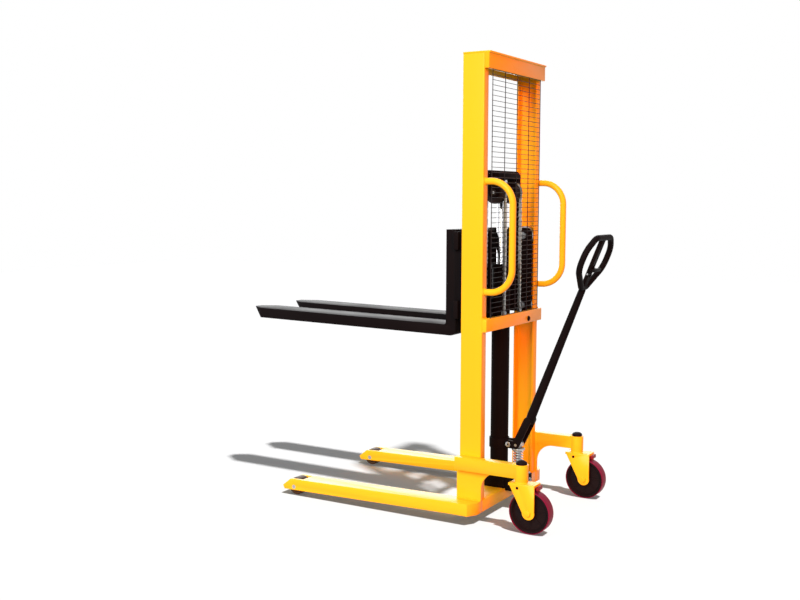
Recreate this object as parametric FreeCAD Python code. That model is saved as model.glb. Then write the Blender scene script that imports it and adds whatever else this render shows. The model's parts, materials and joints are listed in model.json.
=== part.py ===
"""Hand pallet stacker: fixed mast, chain lift, hanging forks, pump tiller and four wheels.

Millimetres, +X towards the fork tips, +Y to the machine's left, +Z up.
Everything is drawn about the mast centre on the floor and moved at the end, so that the origin
is the middle of the bounding box at floor level.
"""
import FreeCAD
import Part
import math
import os

V = FreeCAD.Vector

# mast: two channels, their beams and the guard
mast_height = 1980.0
mast_width = 578.0
channel_depth = 100.0
channel_flange = 40.0
channel_wall = 8.0
channel_corner = 4.0
top_beam_height = 70.0
top_beam_wall = 8.0
top_beam_lip = 6.0
middle_beam_top = 872.0
middle_beam_height = 55.0
middle_beam_depth = 21.0
middle_beam_wall = 5.0
beam_bolt_y = 141.0
beam_bolt_drop = 36.0
beam_bolt_head = 12.5
beam_bolt_rise = 6.0
mesh_wire = 4.0
mesh_inset = 2.0
mesh_stand_off = 15.0
mesh_columns = 4
mesh_rows = 49
handle_y = 271.0
handle_low = 985.0
handle_high = 1448.0
handle_reach = 127.0
handle_bend = 98.0
handle_radius = 14.0

# base: cross beam, legs, load rollers
leg_spread = 750.0
leg_width = 95.0
leg_top = 94.0
leg_bottom = 43.0
leg_reach = 934.0
leg_drop = 18.0
leg_wall = 6.0
leg_nose_back = 44.0
leg_nose_rise = 17.0
leg_nose_under = 9.0
leg_chamfer_x = 26.0
leg_chamfer_y = 43.0
base_depth = 114.0
base_wall = 6.0
roller_back = 62.0
roller_radius = 40.0
roller_width = 60.0
roller_axle_radius = 10.0
roller_slot_gap = 5.0
roller_side_gap = 3.0
roller_edge = 3.0

# rear arms and castors
arm_top = 281.0
arm_bottom = 225.0
arm_width = 44.0
arm_front = 52.0
arm_wall = 6.0
web_wall = 10.0
web_front = 57.0
web_rear = -58.0
web_arch = 80.0
swivel_x = -250.0
housing_radius = 29.0
housing_top = 283.0
housing_low = 215.0
stem_radius = 14.0
cap_radius = 23.0
cap_skirt = 6.0
cap_rise = 18.0
castor_trail = 46.0
castor_radius = 90.0
castor_width = 50.0
castor_rim_radius = 85.0
castor_web = 14.0
castor_rim_inner = 74.0
castor_boss_radius = 20.0
castor_boss_width = 52.0
castor_axle_radius = 8.0
tread_edge = 3.5
bearing_radius = 28.0
bearing_height = 6.0
bearing_gap = 0.5
plate_thick = 10.0
cheek_thick = 6.0
cheek_gap = 1.5
cheek_end_radius = 27.0
cheek_front = 44.0
cheek_rear = -72.0
axle_nut = 13.0
axle_nut_rise = 8.0
pedal_pin_x = 4.0
pedal_pin_z = 190.0
pedal_pin_radius = 5.0
pedal_half = 15.0
pedal_thick = 6.0
pedal_ring = 8.0
pedal_reach = -85.0
pedal_pad_thick = 9.0
pedal_pad_rise = 15.0
pedal_pad_half = 24.0

# hydraulics
cylinder_radius = 40.0
cylinder_bore = 32.0
cylinder_floor = 20.0
cylinder_top = 1068.0
foot_front = 45.0
foot_half = 66.0
foot_height = 56.0
gland_radius = 44.0
gland_height = 18.0
ram_radius = 22.5
ram_low = 640.0
piston_height = 40.0
piston_gap = 0.4
run_gap = 0.05
body_gap = 0.3
pump_block_front = -57.0
pump_block_rear = -136.0
pump_block_half = 58.0
pump_block_low = 84.0
pump_block_high = 150.0
pump_floor = 12.0
pump_x = -94.0
pump_barrel_radius = 31.0
pump_barrel_top = 196.0
plunger_radius = 12.0
plunger_depth = 60.0
plunger_cap_radius = 29.0
plunger_cap_height = 8.0
spring_radius = 21.0
spring_wire = 2.5
spring_turns = 5
spring_end_gap = 0.9
clamp_wall = 5.0
clamp_height = 34.0
clamp_gap = 0.4
clamp_z = 844.0
clamp_lug_half = 62.0

# tiller
pivot_x = -58.0
pivot_z = 288.0
pivot_radius = 8.0
ear_in = 14.0
ear_out = 24.0
ear_round = 17.0
bracket_wall = 5.0
bracket_low = 266.0
bracket_high = 310.0
cheek_in = 25.0
cheek_out = 33.0
tiller_cheek_round = 17.0
press_arm = 36.0
press_radius = 18.0
press_half = 22.0
press_pin_radius = 6.0
bend_x = -148.0
bend_z = 401.0
neck_x = -380.0
neck_z = 990.0
bar_low_radius = 21.0
bar_high_radius = 15.0
loop_length = 242.0
loop_lean_x = -91.0
loop_lean_z = 225.0
loop_radius = 13.0
loop_foot_half = 26.0
loop_belly_half = 146.0
loop_belly_low = 102.0
loop_belly_high = 188.0
loop_head_half = 86.0
loop_foot_bend = 20.0
loop_belly_bend = 75.0
loop_head_bend = 50.0
stem_half = 18.0
stem_thick = 15.0
release_pin_v = 75.0
release_pin_radius = 4.0
release_half = 56.0
release_thick = 7.0
release_length = 34.0
release_lug_half = 8.0
release_stand_off = 10.5
release_slot_gap = 6.0

# chain wheels, crosshead and hoop
wheel_x = -7.0
wheel_y = 79.0
wheel_z = 1403.0
chain_pitch_radius = 45.0
wheel_flange_radius = 49.0
wheel_half = 13.0
wheel_groove_half = 10.0
wheel_axle_radius = 10.0
crosshead_low = 1462.0
crosshead_thick = 22.0
crosshead_half = 112.0
crosshead_front = 23.0
crosshead_rear = -37.0
hanger_thick = 8.0
hanger_gap = 4.0
hanger_half = 25.0
hoop_half = 178.0
hoop_low = 1243.0
hoop_bar = 14.0
hoop_corner = 40.0

# chains
chain_pitch = 25.4
chain_plate = 3.0
chain_half_depth = 6.5
chain_pin_radius = 3.2
chain_pin_rise = 1.5
wrap_links = 6
wrap_rise = 0.6
anchor_rise = 18.0
anchor_half = 8.0
tie_half = 95.0
tie_rear_gap = 8.0
tie_thick = 16.0
tie_top = 941.0
tie_cut_radius = 50.0

# carriage and forks
side_gap = 7.0
side_thick = 12.0
side_low = 857.0
side_high = 1243.0
side_rear = -40.0
side_round = 24.0
bar_rear = 80.0
bar_front = 104.0
bar_half = 262.0
upper_bar_low = 1158.0
lower_bar_low = 863.0
bar_height = 78.0
carriage_roller_z_low = 888.0
carriage_roller_z_high = 1208.0
carriage_axle_radius = 12.0
carriage_axle_head = 17.0
carriage_axle_rise = 8.0
carriage_roller_end = 1.5
fork_outer = 235.0
fork_width = 140.0
fork_top = 830.0
fork_thick = 47.0
fork_reach = 1236.0
fork_undercut = 64.0
fork_rake = 0.0164
fork_wall = 9.0
shank_thick = 47.0
shank_high = 1244.0
hook_thick = 7.5
hook_lip = 10.0
hook_drop = 20.0
hook_inset_in = 16.0
hook_inset_out = 32.0
tip_taper = 46.0
tip_taper_length = 70.0
heel_round = 26.0
heel_inner_round = 10.0

# shared shares and cutting allowance
half = 0.5
over = 3.0
diag_share = math.sqrt(half)
quarter_turn = 90.0
nodes = {}


def box(x0, x1, y0, y1, z0, z1):
    """Block between two corners given per axis."""
    return Part.makeBox(x1 - x0, y1 - y0, z1 - z0, V(x0, y0, z0))


def rod(start, end, radius):
    """Round bar between two points."""
    run = end.sub(start)
    return Part.makeCylinder(radius, run.Length, start, run)


def ring(start, end, outer, inner):
    """Tube between two points."""
    reach = end.sub(start)
    reach.normalize()
    reach.multiply(over)
    return rod(start, end, outer).cut(rod(start.sub(reach), end.add(reach), inner))


def plate_xz(points, y0, y1):
    """Side profile, points (x, z), carried across from y0 to y1."""
    loop = [V(x, y0, z) for x, z in points]
    face = Part.Face(Part.makePolygon(loop + [loop[0]]))
    return face.extrude(V(0, y1 - y0, 0))


def plate_xy(points, z0, z1):
    """Plan profile, points (x, y), carried up from z0 to z1."""
    loop = [V(x, y, z0) for x, y in points]
    face = Part.Face(Part.makePolygon(loop + [loop[0]]))
    return face.extrude(V(0, 0, z1 - z0))


def rounded(corners, radii, closed):
    """Path through corner points with each bend rounded by its own radius."""
    count = len(corners)
    edges = []
    last = None
    first = None
    for i, point in enumerate(corners):
        radius = radii[i]
        ends = not closed and i in (0, count - 1)
        if ends or radius == 0:
            entry, leave, middle = point, point, None
        else:
            back = corners[i - 1].sub(point)
            ahead = corners[(i + 1) % count].sub(point)
            back.normalize()
            ahead.normalize()
            opening = back.getAngle(ahead)
            length = radius / math.tan(opening * half)
            entry = point.add(V(back).multiply(length))
            leave = point.add(V(ahead).multiply(length))
            inward = back.add(ahead)
            inward.normalize()
            depth = radius / math.sin(opening * half) - radius
            middle = point.add(inward.multiply(depth))
        if last is not None:
            edges.append(Part.makeLine(last, entry))
        else:
            first = entry
        if middle is not None:
            edges.append(Part.Arc(entry, middle, leave).toShape())
        last = leave
    if closed:
        edges.append(Part.makeLine(last, first))
    return Part.Wire(edges)


def tube_on(path, radius):
    """Round bar swept along a path."""
    start = path.Edges[0]
    direction = start.tangentAt(start.FirstParameter)
    circle = Part.Wire(Part.makeCircle(radius, start.valueAt(start.FirstParameter), direction))
    return path.makePipeShell([circle], True, False)


def turned(points, centre, axis):
    """Solid of revolution from (radius, along) points round an axis through the centre."""
    side = V(0, 0, 1) if abs(axis.z) < half else V(1, 0, 0)
    loop = []
    for radius, along in points:
        loop.append(centre.add(V(side).multiply(radius)).add(V(axis).multiply(along)))
    face = Part.Face(Part.makePolygon(loop + [loop[0]]))
    return face.revolve(centre, axis, quarter_turn + quarter_turn + quarter_turn + quarter_turn)


def hexagon(centre, axis, across, rise):
    """Hexagon head with the given half width across its corners."""
    side = V(0, 0, 1) if abs(axis.z) < half else V(1, 0, 0)
    other = axis.cross(side)
    corners = []
    for step in range(6):
        turn = math.radians(quarter_turn) * step / (1 + half)
        reach = V(side).multiply(across * math.cos(turn))
        corners.append(centre.add(reach).add(V(other).multiply(across * math.sin(turn))))
    face = Part.Face(Part.makePolygon(corners + [corners[0]]))
    return face.extrude(V(axis).multiply(rise))


def joined(shapes):
    """One solid out of overlapping or touching ones."""
    whole = shapes[0]
    if len(shapes) > 1:
        whole = whole.multiFuse(shapes[1:])
    return whole.removeSplitter()


def flip(shape):
    """The same shape on the machine's right."""
    return shape.mirror(V(0, 0, 0), V(0, 1, 0))


def pair(name, shape):
    """Store a left piece and its mirrored right one."""
    nodes["left_" + name] = shape
    nodes["right_" + name] = flip(shape)


# mast
web_y = mast_width * half
tip_y = web_y - channel_flange
face_x = channel_depth * half
top_beam_low = mast_height - top_beam_height
middle_beam_low = middle_beam_top - middle_beam_height
beam_rear = -face_x - middle_beam_depth


def upright():
    """Rolled channel with its web outside and open towards the middle."""
    inner_x = face_x - channel_wall
    inner_y = web_y - channel_wall
    loop = [(-face_x, tip_y), (-face_x, web_y), (face_x, web_y), (face_x, tip_y)]
    loop += [(inner_x, tip_y), (inner_x, inner_y), (-inner_x, inner_y), (-inner_x, tip_y)]
    shape = plate_xy(loop, leg_top, mast_height - top_beam_wall)
    outer = []
    for edge in shape.Edges:
        a, b = edge.Vertexes[0].Point, edge.Vertexes[-1].Point
        if abs(a.x - b.x) + abs(a.y - b.y) < half and a.y > tip_y + half:
            outer.append(edge)
    return shape.makeFillet(channel_corner, outer)


def top_beam():
    """Folded beam closing the mast: lid with a rear lip, hollow rear skirt and front skirt."""
    lid_low = mast_height - top_beam_wall
    lid = box(beam_rear - top_beam_lip, face_x, -web_y, web_y, lid_low, mast_height)
    rear = box(beam_rear, -face_x, -web_y, web_y, top_beam_low, lid_low)
    side = web_y - top_beam_wall
    rear = rear.cut(box(beam_rear + top_beam_wall, -face_x + over, -side, side,
                        top_beam_low + top_beam_wall, lid_low + over))
    front = box(face_x - top_beam_wall, face_x, -tip_y, tip_y, top_beam_low, lid_low)
    return joined([lid, rear, front])


def middle_beam():
    """Channel across the rear of the mast, its open side against the uprights."""
    block = box(beam_rear, -face_x, -web_y, web_y, middle_beam_low, middle_beam_top)
    low = middle_beam_low + middle_beam_wall
    high = middle_beam_top - middle_beam_wall
    end = web_y - middle_beam_wall
    hollow = box(beam_rear + middle_beam_wall, -face_x + over, -end, end, low, high)
    return block.cut(hollow)


def guard_mesh():
    """Welded wire guard between the beams as one holed sheet."""
    low, high = middle_beam_top, top_beam_low
    side = tip_y - mesh_inset
    x0 = -face_x - mesh_stand_off - mesh_wire
    loop = [V(x0, -side, low), V(x0, side, low), V(x0, side, high), V(x0, -side, high)]
    wires = [Part.makePolygon(loop + [loop[0]])]
    wide = (side + side - mesh_wire) / mesh_columns
    tall = (high - low - mesh_wire) / mesh_rows
    for column in range(mesh_columns):
        for row in range(mesh_rows):
            y0 = -side + mesh_wire + wide * column
            z0 = low + mesh_wire + tall * row
            y1 = y0 + wide - mesh_wire
            z1 = z0 + tall - mesh_wire
            gap = [V(x0, y0, z0), V(x0, y1, z0), V(x0, y1, z1), V(x0, y0, z1)]
            wires.append(Part.makePolygon(gap + [gap[0]]))
    sheet = Part.makeFace(wires, "Part::FaceMakerBullseye")
    return sheet.extrude(V(mesh_wire, 0, 0))


def grab_handle():
    """Bent tube standing off the rear flange of an upright."""
    out_x = -face_x - handle_reach
    corners = [V(-face_x, handle_y, handle_high), V(out_x, handle_y, handle_high)]
    corners += [V(out_x, handle_y, handle_low), V(-face_x, handle_y, handle_low)]
    path = rounded(corners, [0, handle_bend, handle_bend, 0], False)
    return tube_on(path, handle_radius)


def beam_fittings():
    """Hexagon head on the rear of the middle beam and the two chain anchors on its top."""
    z = middle_beam_top - beam_bolt_drop
    x = wheel_x - chain_pitch_radius
    pieces = [hexagon(V(beam_rear, -beam_bolt_y, z), V(-1, 0, 0), beam_bolt_head, beam_bolt_rise)]
    for y in (wheel_y, -wheel_y):
        pieces.append(box(x - anchor_half, x + anchor_half, y - anchor_half, y + anchor_half,
                          middle_beam_top, middle_beam_top + anchor_rise))
    return Part.makeCompound(pieces)


pair("upright", upright())
nodes["top_crossbeam"] = top_beam()
nodes["middle_crossbeam"] = middle_beam()
nodes["beam_fittings"] = beam_fittings()
nodes["guard_mesh"] = guard_mesh()
pair("grab_handle", grab_handle())

# base
leg_out = leg_spread * half
leg_in = leg_out - leg_width
base_x = base_depth * half
leg_mid = (leg_out + leg_in) * half
roller_x = leg_reach - roller_back
slope = leg_drop / (leg_reach - base_x)


def leg_line(x, level):
    """Height of a leg edge that is level over the base and falls to the tip."""
    return level - slope * max(0.0, x - base_x)


def base_beam():
    """Inverted channel between the legs under the mast."""
    block = box(-base_x, base_x, -leg_in, leg_in, leg_bottom, leg_top)
    low = leg_bottom - over
    side = base_x - base_wall
    return block.cut(box(-side, side, -leg_in - over, leg_in + over, low, leg_top - base_wall))


def leg_profile(inset_x, inset_top):
    """Side profile of a leg, drawn in by a wall at the ends and top."""
    nose_x = leg_reach - leg_nose_back
    under_x = leg_reach - leg_nose_under
    top_rear = (-base_x + inset_x, leg_top - inset_top)
    points = [(-base_x + inset_x, leg_bottom), (base_x, leg_bottom)]
    points.append((under_x - inset_x, leg_line(under_x - inset_x, leg_bottom)))
    points.append((leg_reach - inset_x, leg_line(leg_reach, leg_bottom) + leg_nose_rise))
    points.append((nose_x - inset_x, leg_line(nose_x, leg_top) - inset_top))
    points.append((base_x, leg_top - inset_top))
    points.append(top_rear)
    return points


def corner_wedge(inset):
    """Prism that takes off a leg's rear outer corner, moved inwards by a wall."""
    start = V(-base_x, leg_out - leg_chamfer_y, 0)
    end = V(-base_x + leg_chamfer_x, leg_out, 0)
    along = end.sub(start)
    across = V(along.y, -along.x, 0)
    across.normalize()
    across.multiply(inset)
    first = start.sub(along).add(across)
    last = end.add(along).add(across)
    plan = [(first.x, first.y), (last.x, last.y), (first.x, last.y)]
    return plate_xy(plan, leg_bottom - leg_width, leg_top + over)


def base_leg():
    """Folded leg, open below, with a slot over its load roller."""
    shape = plate_xz(leg_profile(0, 0), leg_in, leg_out).cut(corner_wedge(0))
    cavity = leg_profile(leg_wall, leg_wall)
    low = [(x, z - over) if i < 3 else (x, z) for i, (x, z) in enumerate(cavity)]
    hollow = plate_xz(low, leg_in + leg_wall, leg_out - leg_wall)
    shape = shape.cut(hollow.cut(corner_wedge(leg_wall)))
    reach = roller_radius + roller_slot_gap
    side = roller_width * half + roller_side_gap
    high = leg_top + over
    slot = box(roller_x - reach, roller_x + reach, leg_mid - side, leg_mid + side, roller_radius, high)
    shape = shape.cut(slot)
    hole = rod(V(roller_x, leg_in - over, roller_radius), V(roller_x, leg_out + over, roller_radius),
               roller_axle_radius)
    return shape.cut(hole)


def load_roller():
    """Load roller with bevelled rims and a bore for its axle."""
    wide = roller_width * half
    bore = roller_axle_radius + run_gap
    flat = roller_radius - roller_edge
    points = [(bore, -wide), (flat, -wide), (roller_radius, -wide + roller_edge)]
    points += [(roller_radius, wide - roller_edge), (flat, wide), (bore, wide)]
    return turned(points, V(roller_x, leg_mid, roller_radius), V(0, 1, 0))


def roller_axle():
    """Load roller axle through both walls of a leg."""
    start = V(roller_x, leg_in, roller_radius)
    return rod(start, V(roller_x, leg_out, roller_radius), roller_axle_radius)


nodes["base_crossbeam"] = base_beam()
pair("base_leg", base_leg())
pair("load_roller", load_roller())
nodes["load_roller_axles"] = Part.makeCompound([roller_axle(), flip(roller_axle())])

# rear arms
arm_mid = web_y + arm_width * half


def rear_arm():
    """Arm reaching back to the swivel housing, with the web plate that stands on the leg."""
    beam = box(swivel_x, arm_front, web_y, web_y + arm_width, arm_bottom, arm_top)
    inside = web_y + web_wall
    hollow = box(swivel_x + housing_radius, arm_front - arm_wall, inside, web_y + arm_width - arm_wall,
                 arm_bottom - over, arm_top - arm_wall)
    beam = beam.cut(hollow)
    rear = web_rear - web_arch
    low = arm_bottom - web_arch
    far = V(rear, web_y, arm_bottom)
    near = V(web_rear, web_y, low)
    middle = V(rear + web_arch * diag_share, web_y, low + web_arch * diag_share)
    foot = V(web_rear, web_y, leg_top)
    toe = V(web_front, web_y, leg_top)
    shoulder = V(web_front, web_y, arm_bottom)
    edges = [Part.Arc(far, middle, near).toShape(), Part.makeLine(near, foot)]
    edges += [Part.makeLine(foot, toe), Part.makeLine(toe, shoulder), Part.makeLine(shoulder, far)]
    web = Part.Face(Part.Wire(edges)).extrude(V(0, web_wall, 0))
    low_end = V(swivel_x, arm_mid, housing_low)
    high_end = V(swivel_x, arm_mid, housing_top)
    whole = joined([beam, web, rod(low_end, high_end, housing_radius)])
    bore = stem_radius + run_gap
    return whole.cut(rod(low_end.sub(V(0, 0, over)), high_end.add(V(0, 0, over)), bore))


def swivel_cap():
    """Domed cap on the swivel housing."""
    points = [(0, 0), (cap_radius, 0), (cap_radius, cap_skirt)]
    steps = 5
    for i in range(1, steps):
        turn = math.radians(quarter_turn) * i / steps
        points.append((cap_radius * math.cos(turn),
                       cap_skirt + (cap_rise - cap_skirt) * math.sin(turn)))
    points.append((0, cap_rise))
    return turned(points, V(swivel_x, arm_mid, housing_top), V(0, 0, 1))


pair("rear_arm", rear_arm())
nodes["swivel_caps"] = Part.makeCompound([swivel_cap(), flip(swivel_cap())])

# castors
axle_x = swivel_x - castor_trail
axle_z = castor_radius
bearing_high = housing_low - bearing_gap
bearing_low = bearing_high - bearing_height
plate_low = bearing_low - plate_thick
cheek_start = castor_boss_width * half + cheek_gap
cheek_end = cheek_start + cheek_thick


def castor_fork():
    """Swivel fork: top plate with stem and bearing ring, two slanting cheeks."""
    front = swivel_x + cheek_front
    rear = swivel_x + cheek_rear
    pieces = [box(rear, front, arm_mid - cheek_end, arm_mid + cheek_end, plate_low, bearing_low)]
    stem_top = housing_top - over
    pieces.append(rod(V(swivel_x, arm_mid, plate_low), V(swivel_x, arm_mid, stem_top), stem_radius))
    pieces.append(rod(V(swivel_x, arm_mid, bearing_low), V(swivel_x, arm_mid, bearing_high), bearing_radius))
    for y0 in (arm_mid - cheek_end, arm_mid + cheek_start):
        y1 = y0 + cheek_thick
        slant = axle_x + cheek_end_radius
        points = [(front, bearing_low), (rear, bearing_low), (rear, axle_z), (axle_x, axle_z)]
        points += [(slant, axle_z)]
        pieces.append(plate_xz(points, y0, y1))
        pieces.append(rod(V(axle_x, y0, axle_z), V(axle_x, y1, axle_z), cheek_end_radius))
    whole = joined(pieces)
    lo, hi = arm_mid - cheek_end - over, arm_mid + cheek_end + over
    pin = pedal_pin_radius
    pin_x = swivel_x + pedal_pin_x
    whole = whole.cut(rod(V(axle_x, lo, axle_z), V(axle_x, hi, axle_z), castor_axle_radius))
    return whole.cut(rod(V(pin_x, lo, pedal_pin_z), V(pin_x, hi, pedal_pin_z), pin))


def castor_axle():
    """Wheel bolt with a hexagon head and a nut."""
    lo, hi = arm_mid - cheek_end, arm_mid + cheek_end
    bar = rod(V(axle_x, lo, axle_z), V(axle_x, hi, axle_z), castor_axle_radius)
    head = hexagon(V(axle_x, hi, axle_z), V(0, 1, 0), axle_nut, axle_nut_rise)
    nut = hexagon(V(axle_x, lo, axle_z), V(0, -1, 0), axle_nut, axle_nut_rise)
    return joined([bar, head, nut])


def castor_hub():
    """Wheel body with a rim, a web and a boss."""
    wide = castor_width * half - tread_edge
    boss = castor_boss_width * half
    web = castor_web * half
    bore = castor_axle_radius + run_gap
    points = [(bore, -boss), (castor_boss_radius, -boss), (castor_boss_radius, -web)]
    points += [(castor_rim_inner, -web), (castor_rim_inner, -wide), (castor_rim_radius, -wide)]
    points += [(castor_rim_radius, wide), (castor_rim_inner, wide), (castor_rim_inner, web)]
    points += [(castor_boss_radius, web), (castor_boss_radius, boss), (bore, boss)]
    return turned(points, V(axle_x, arm_mid, axle_z), V(0, 1, 0))


def castor_tread():
    """Tread ring bonded to the wheel body."""
    wide = castor_width * half
    flat = castor_radius - tread_edge
    points = [(castor_rim_radius, -wide), (flat, -wide), (castor_radius, -wide + tread_edge)]
    points += [(castor_radius, wide - tread_edge), (flat, wide), (castor_rim_radius, wide)]
    return turned(points, V(axle_x, arm_mid, axle_z), V(0, 1, 0))


def brake_pedal():
    """Foot lever over the wheel that brings its shoe down on the tread."""
    pin_x = swivel_x + pedal_pin_x
    lo, hi = arm_mid - pedal_half, arm_mid + pedal_half
    end = swivel_x + pedal_reach
    low = pedal_pin_z - pedal_thick * half
    high = low + pedal_thick
    lever = box(end, pin_x, lo, hi, low, high)
    eye = rod(V(pin_x, lo, pedal_pin_z), V(pin_x, hi, pedal_pin_z), pedal_ring)
    wide_lo, wide_hi = arm_mid - pedal_pad_half, arm_mid + pedal_pad_half
    pad = box(end, end + pedal_pad_thick, wide_lo, wide_hi, low, low + pedal_pad_rise)
    whole = joined([lever, eye, pad])
    bore = pedal_pin_radius + run_gap
    return whole.cut(rod(V(pin_x, lo - over, pedal_pin_z), V(pin_x, hi + over, pedal_pin_z), bore))


def pedal_pin():
    """Cross pin of the brake pedal, flush with the cheeks."""
    pin_x = swivel_x + pedal_pin_x
    lo, hi = arm_mid - cheek_end, arm_mid + cheek_end
    return rod(V(pin_x, lo, pedal_pin_z), V(pin_x, hi, pedal_pin_z), pedal_pin_radius)


pair("castor_fork", castor_fork())
pair("castor_bolts", Part.makeCompound([castor_axle(), pedal_pin()]))
pair("castor_hub", castor_hub())
pair("castor_tread", castor_tread())
pair("brake_pedal", brake_pedal())

# hydraulics
gland_top = cylinder_top + gland_height


def lift_cylinder():
    """Cylinder tube with a closed end, standing on the pump casting's foot."""
    foot = V(0, 0, leg_top + foot_height)
    head = V(0, 0, cylinder_top)
    tube = rod(foot, head, cylinder_radius)
    return tube.cut(rod(foot.add(V(0, 0, cylinder_floor)), head.add(V(0, 0, over)), cylinder_bore))


def cylinder_gland():
    """Screwed gland the ram slides through."""
    return ring(V(0, 0, cylinder_top), V(0, 0, gland_top), gland_radius, ram_radius + run_gap)


def ram_rod():
    """Ram with a piston at its foot."""
    low = V(0, 0, ram_low)
    bar = rod(low, V(0, 0, crosshead_low), ram_radius)
    piston = rod(low, V(0, 0, ram_low + piston_height), cylinder_bore - piston_gap)
    return joined([bar, piston])


def pump_block():
    """Pump casting: foot under the cylinder, valve block behind the beam and the pump barrel."""
    block = box(pump_block_rear, pump_block_front, -pump_block_half, pump_block_half,
                pump_block_low, pump_block_high)
    foot = box(pump_block_front, foot_front, -foot_half, foot_half, leg_top, leg_top + foot_height)
    low = V(pump_x, 0, pump_block_high)
    barrel = rod(low.sub(V(0, 0, over)), V(pump_x, 0, pump_barrel_top), pump_barrel_radius)
    whole = joined([block, foot, barrel])
    floor = V(pump_x, 0, pump_block_low + pump_floor)
    return whole.cut(rod(floor, V(pump_x, 0, pump_barrel_top + over), plunger_radius + run_gap))


press_low = pivot_z - press_radius - body_gap
cap_low = press_low - plunger_cap_height


def pump_plunger():
    """Pump plunger with a wide cap under the press roller."""
    bottom = V(pump_x, 0, pump_barrel_top - plunger_depth)
    bar = rod(bottom, V(pump_x, 0, cap_low), plunger_radius)
    cap = rod(V(pump_x, 0, cap_low), V(pump_x, 0, press_low), plunger_cap_radius)
    return joined([bar, cap])


def biarc(points, tangents):
    """Two arcs per span through points with given directions."""
    edges = []
    for a, b, ta, tb in zip(points, points[1:], tangents, tangents[1:]):
        chord = b.sub(a)
        both = ta.add(tb)
        lead = chord.dot(both)
        spread = 1 - ta.dot(tb)
        square = chord.dot(chord)
        reach = (-lead + math.sqrt(lead * lead + (spread + spread) * square)) / (spread + spread)
        one = a.add(V(ta).multiply(reach))
        two = b.sub(V(tb).multiply(reach))
        knee = one.add(two).multiply(half)
        for start, end, direction in ((a, knee, ta), (knee, b, None)):
            if direction is None:
                back = V(tb).multiply(-1)
                edges.append(arc_from(end, start, back, True))
            else:
                edges.append(arc_from(start, end, direction, False))
    return edges


def arc_from(start, end, direction, reverse):
    """Arc leaving the start along a direction and reaching the end."""
    chord = end.sub(start)
    side = chord.sub(V(direction).multiply(chord.dot(direction)))
    side.normalize()
    radius = chord.dot(chord) * half / chord.dot(side)
    centre = start.add(V(side).multiply(radius))
    out_a = start.sub(centre)
    out_b = end.sub(centre)
    mid = out_a.add(out_b)
    mid.normalize()
    middle = centre.add(mid.multiply(radius))
    if reverse:
        return Part.Arc(end, middle, start).toShape()
    return Part.Arc(start, middle, end).toShape()


def pump_spring():
    """Return spring as one unbroken wire between the barrel and the cap."""
    low = pump_barrel_top + spring_wire + spring_end_gap
    high = cap_low - spring_wire - spring_end_gap
    rise = high - low
    points, tangents = [], []
    steps = spring_turns * 4
    climb = rise / (spring_turns * math.pi * (1 + 1) * spring_radius)
    for i in range(steps + 1):
        turn = math.radians(quarter_turn) * i
        z = low + rise * i / steps
        points.append(V(pump_x + spring_radius * math.cos(turn), spring_radius * math.sin(turn), z))
        direction = V(-math.sin(turn), math.cos(turn), climb)
        direction.normalize()
        tangents.append(direction)
    edges = biarc(points, tangents)
    tail = spring_wire + spring_wire
    first = points[0].sub(V(tangents[0]).multiply(tail))
    last = points[-1].add(V(tangents[-1]).multiply(tail))
    edges = [Part.makeLine(first, points[0])] + edges + [Part.makeLine(points[-1], last)]
    path = Part.Wire(edges)
    circle = Part.Wire(Part.makeCircle(spring_wire, first, tangents[0]))
    pitch = rise / spring_turns
    print("spring least gap", round(pitch - spring_wire - spring_wire, 3))
    return path.makePipeShell([circle], True, False)


def cylinder_clamp():
    """Strap round the cylinder bolted to the middle beam."""
    low = clamp_z - clamp_height * half
    high = low + clamp_height
    inner = cylinder_radius + clamp_gap
    strap = rod(V(0, 0, low), V(0, 0, high), inner + clamp_wall)
    lug = box(-face_x, -face_x + clamp_wall + clamp_wall, -clamp_lug_half, clamp_lug_half, low, high)
    whole = joined([strap, lug])
    return whole.cut(rod(V(0, 0, low - over), V(0, 0, high + over), inner))


nodes["lift_cylinder"] = lift_cylinder()
nodes["cylinder_gland"] = cylinder_gland()
nodes["cylinder_clamp"] = cylinder_clamp()
nodes["pump_block"] = pump_block()
nodes["pump_plunger"] = pump_plunger()
nodes["pump_spring"] = pump_spring()
nodes["ram_rod"] = ram_rod()


# tiller
def tiller_bracket():
    """Band round the cylinder with two ears and the tiller's pivot pin."""
    inner = cylinder_radius
    band = rod(V(0, 0, bracket_low), V(0, 0, bracket_high), inner + bracket_wall)
    pieces = [band]
    for y0 in (ear_in, -ear_out):
        y1 = y0 + ear_out - ear_in
        pieces.append(box(pivot_x, -inner * half, y0, y1, pivot_z - ear_round, pivot_z + ear_round))
        pieces.append(rod(V(pivot_x, y0, pivot_z), V(pivot_x, y1, pivot_z), ear_round))
    whole = joined(pieces)
    whole = whole.cut(rod(V(0, 0, bracket_low - over), V(0, 0, bracket_high + over), inner))
    pin = rod(V(pivot_x, -cheek_out, pivot_z), V(pivot_x, cheek_out, pivot_z), pivot_radius)
    return joined([whole, pin])


press_x = pivot_x - press_arm
lean = V(loop_lean_x, 0, loop_lean_z)
lean.normalize()
neck = V(neck_x, 0, neck_z)
bend = V(bend_x, 0, bend_z)
stem_normal = lean.cross(V(0, 1, 0))


def on_loop(side, along):
    """Point in the plane of the hand loop."""
    return neck.add(V(0, side, 0)).add(V(lean).multiply(along))


def slab(side0, side1, along0, along1, thick):
    """Flat bar in the plane of the hand loop."""
    shift = V(stem_normal).multiply(-thick * half)
    loop = [on_loop(side0, along0), on_loop(side1, along0), on_loop(side1, along1), on_loop(side0, along1)]
    loop = [p.add(shift) for p in loop]
    face = Part.Face(Part.makePolygon(loop + [loop[0]]))
    return face.extrude(V(shift).multiply(-1 - 1))


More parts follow.
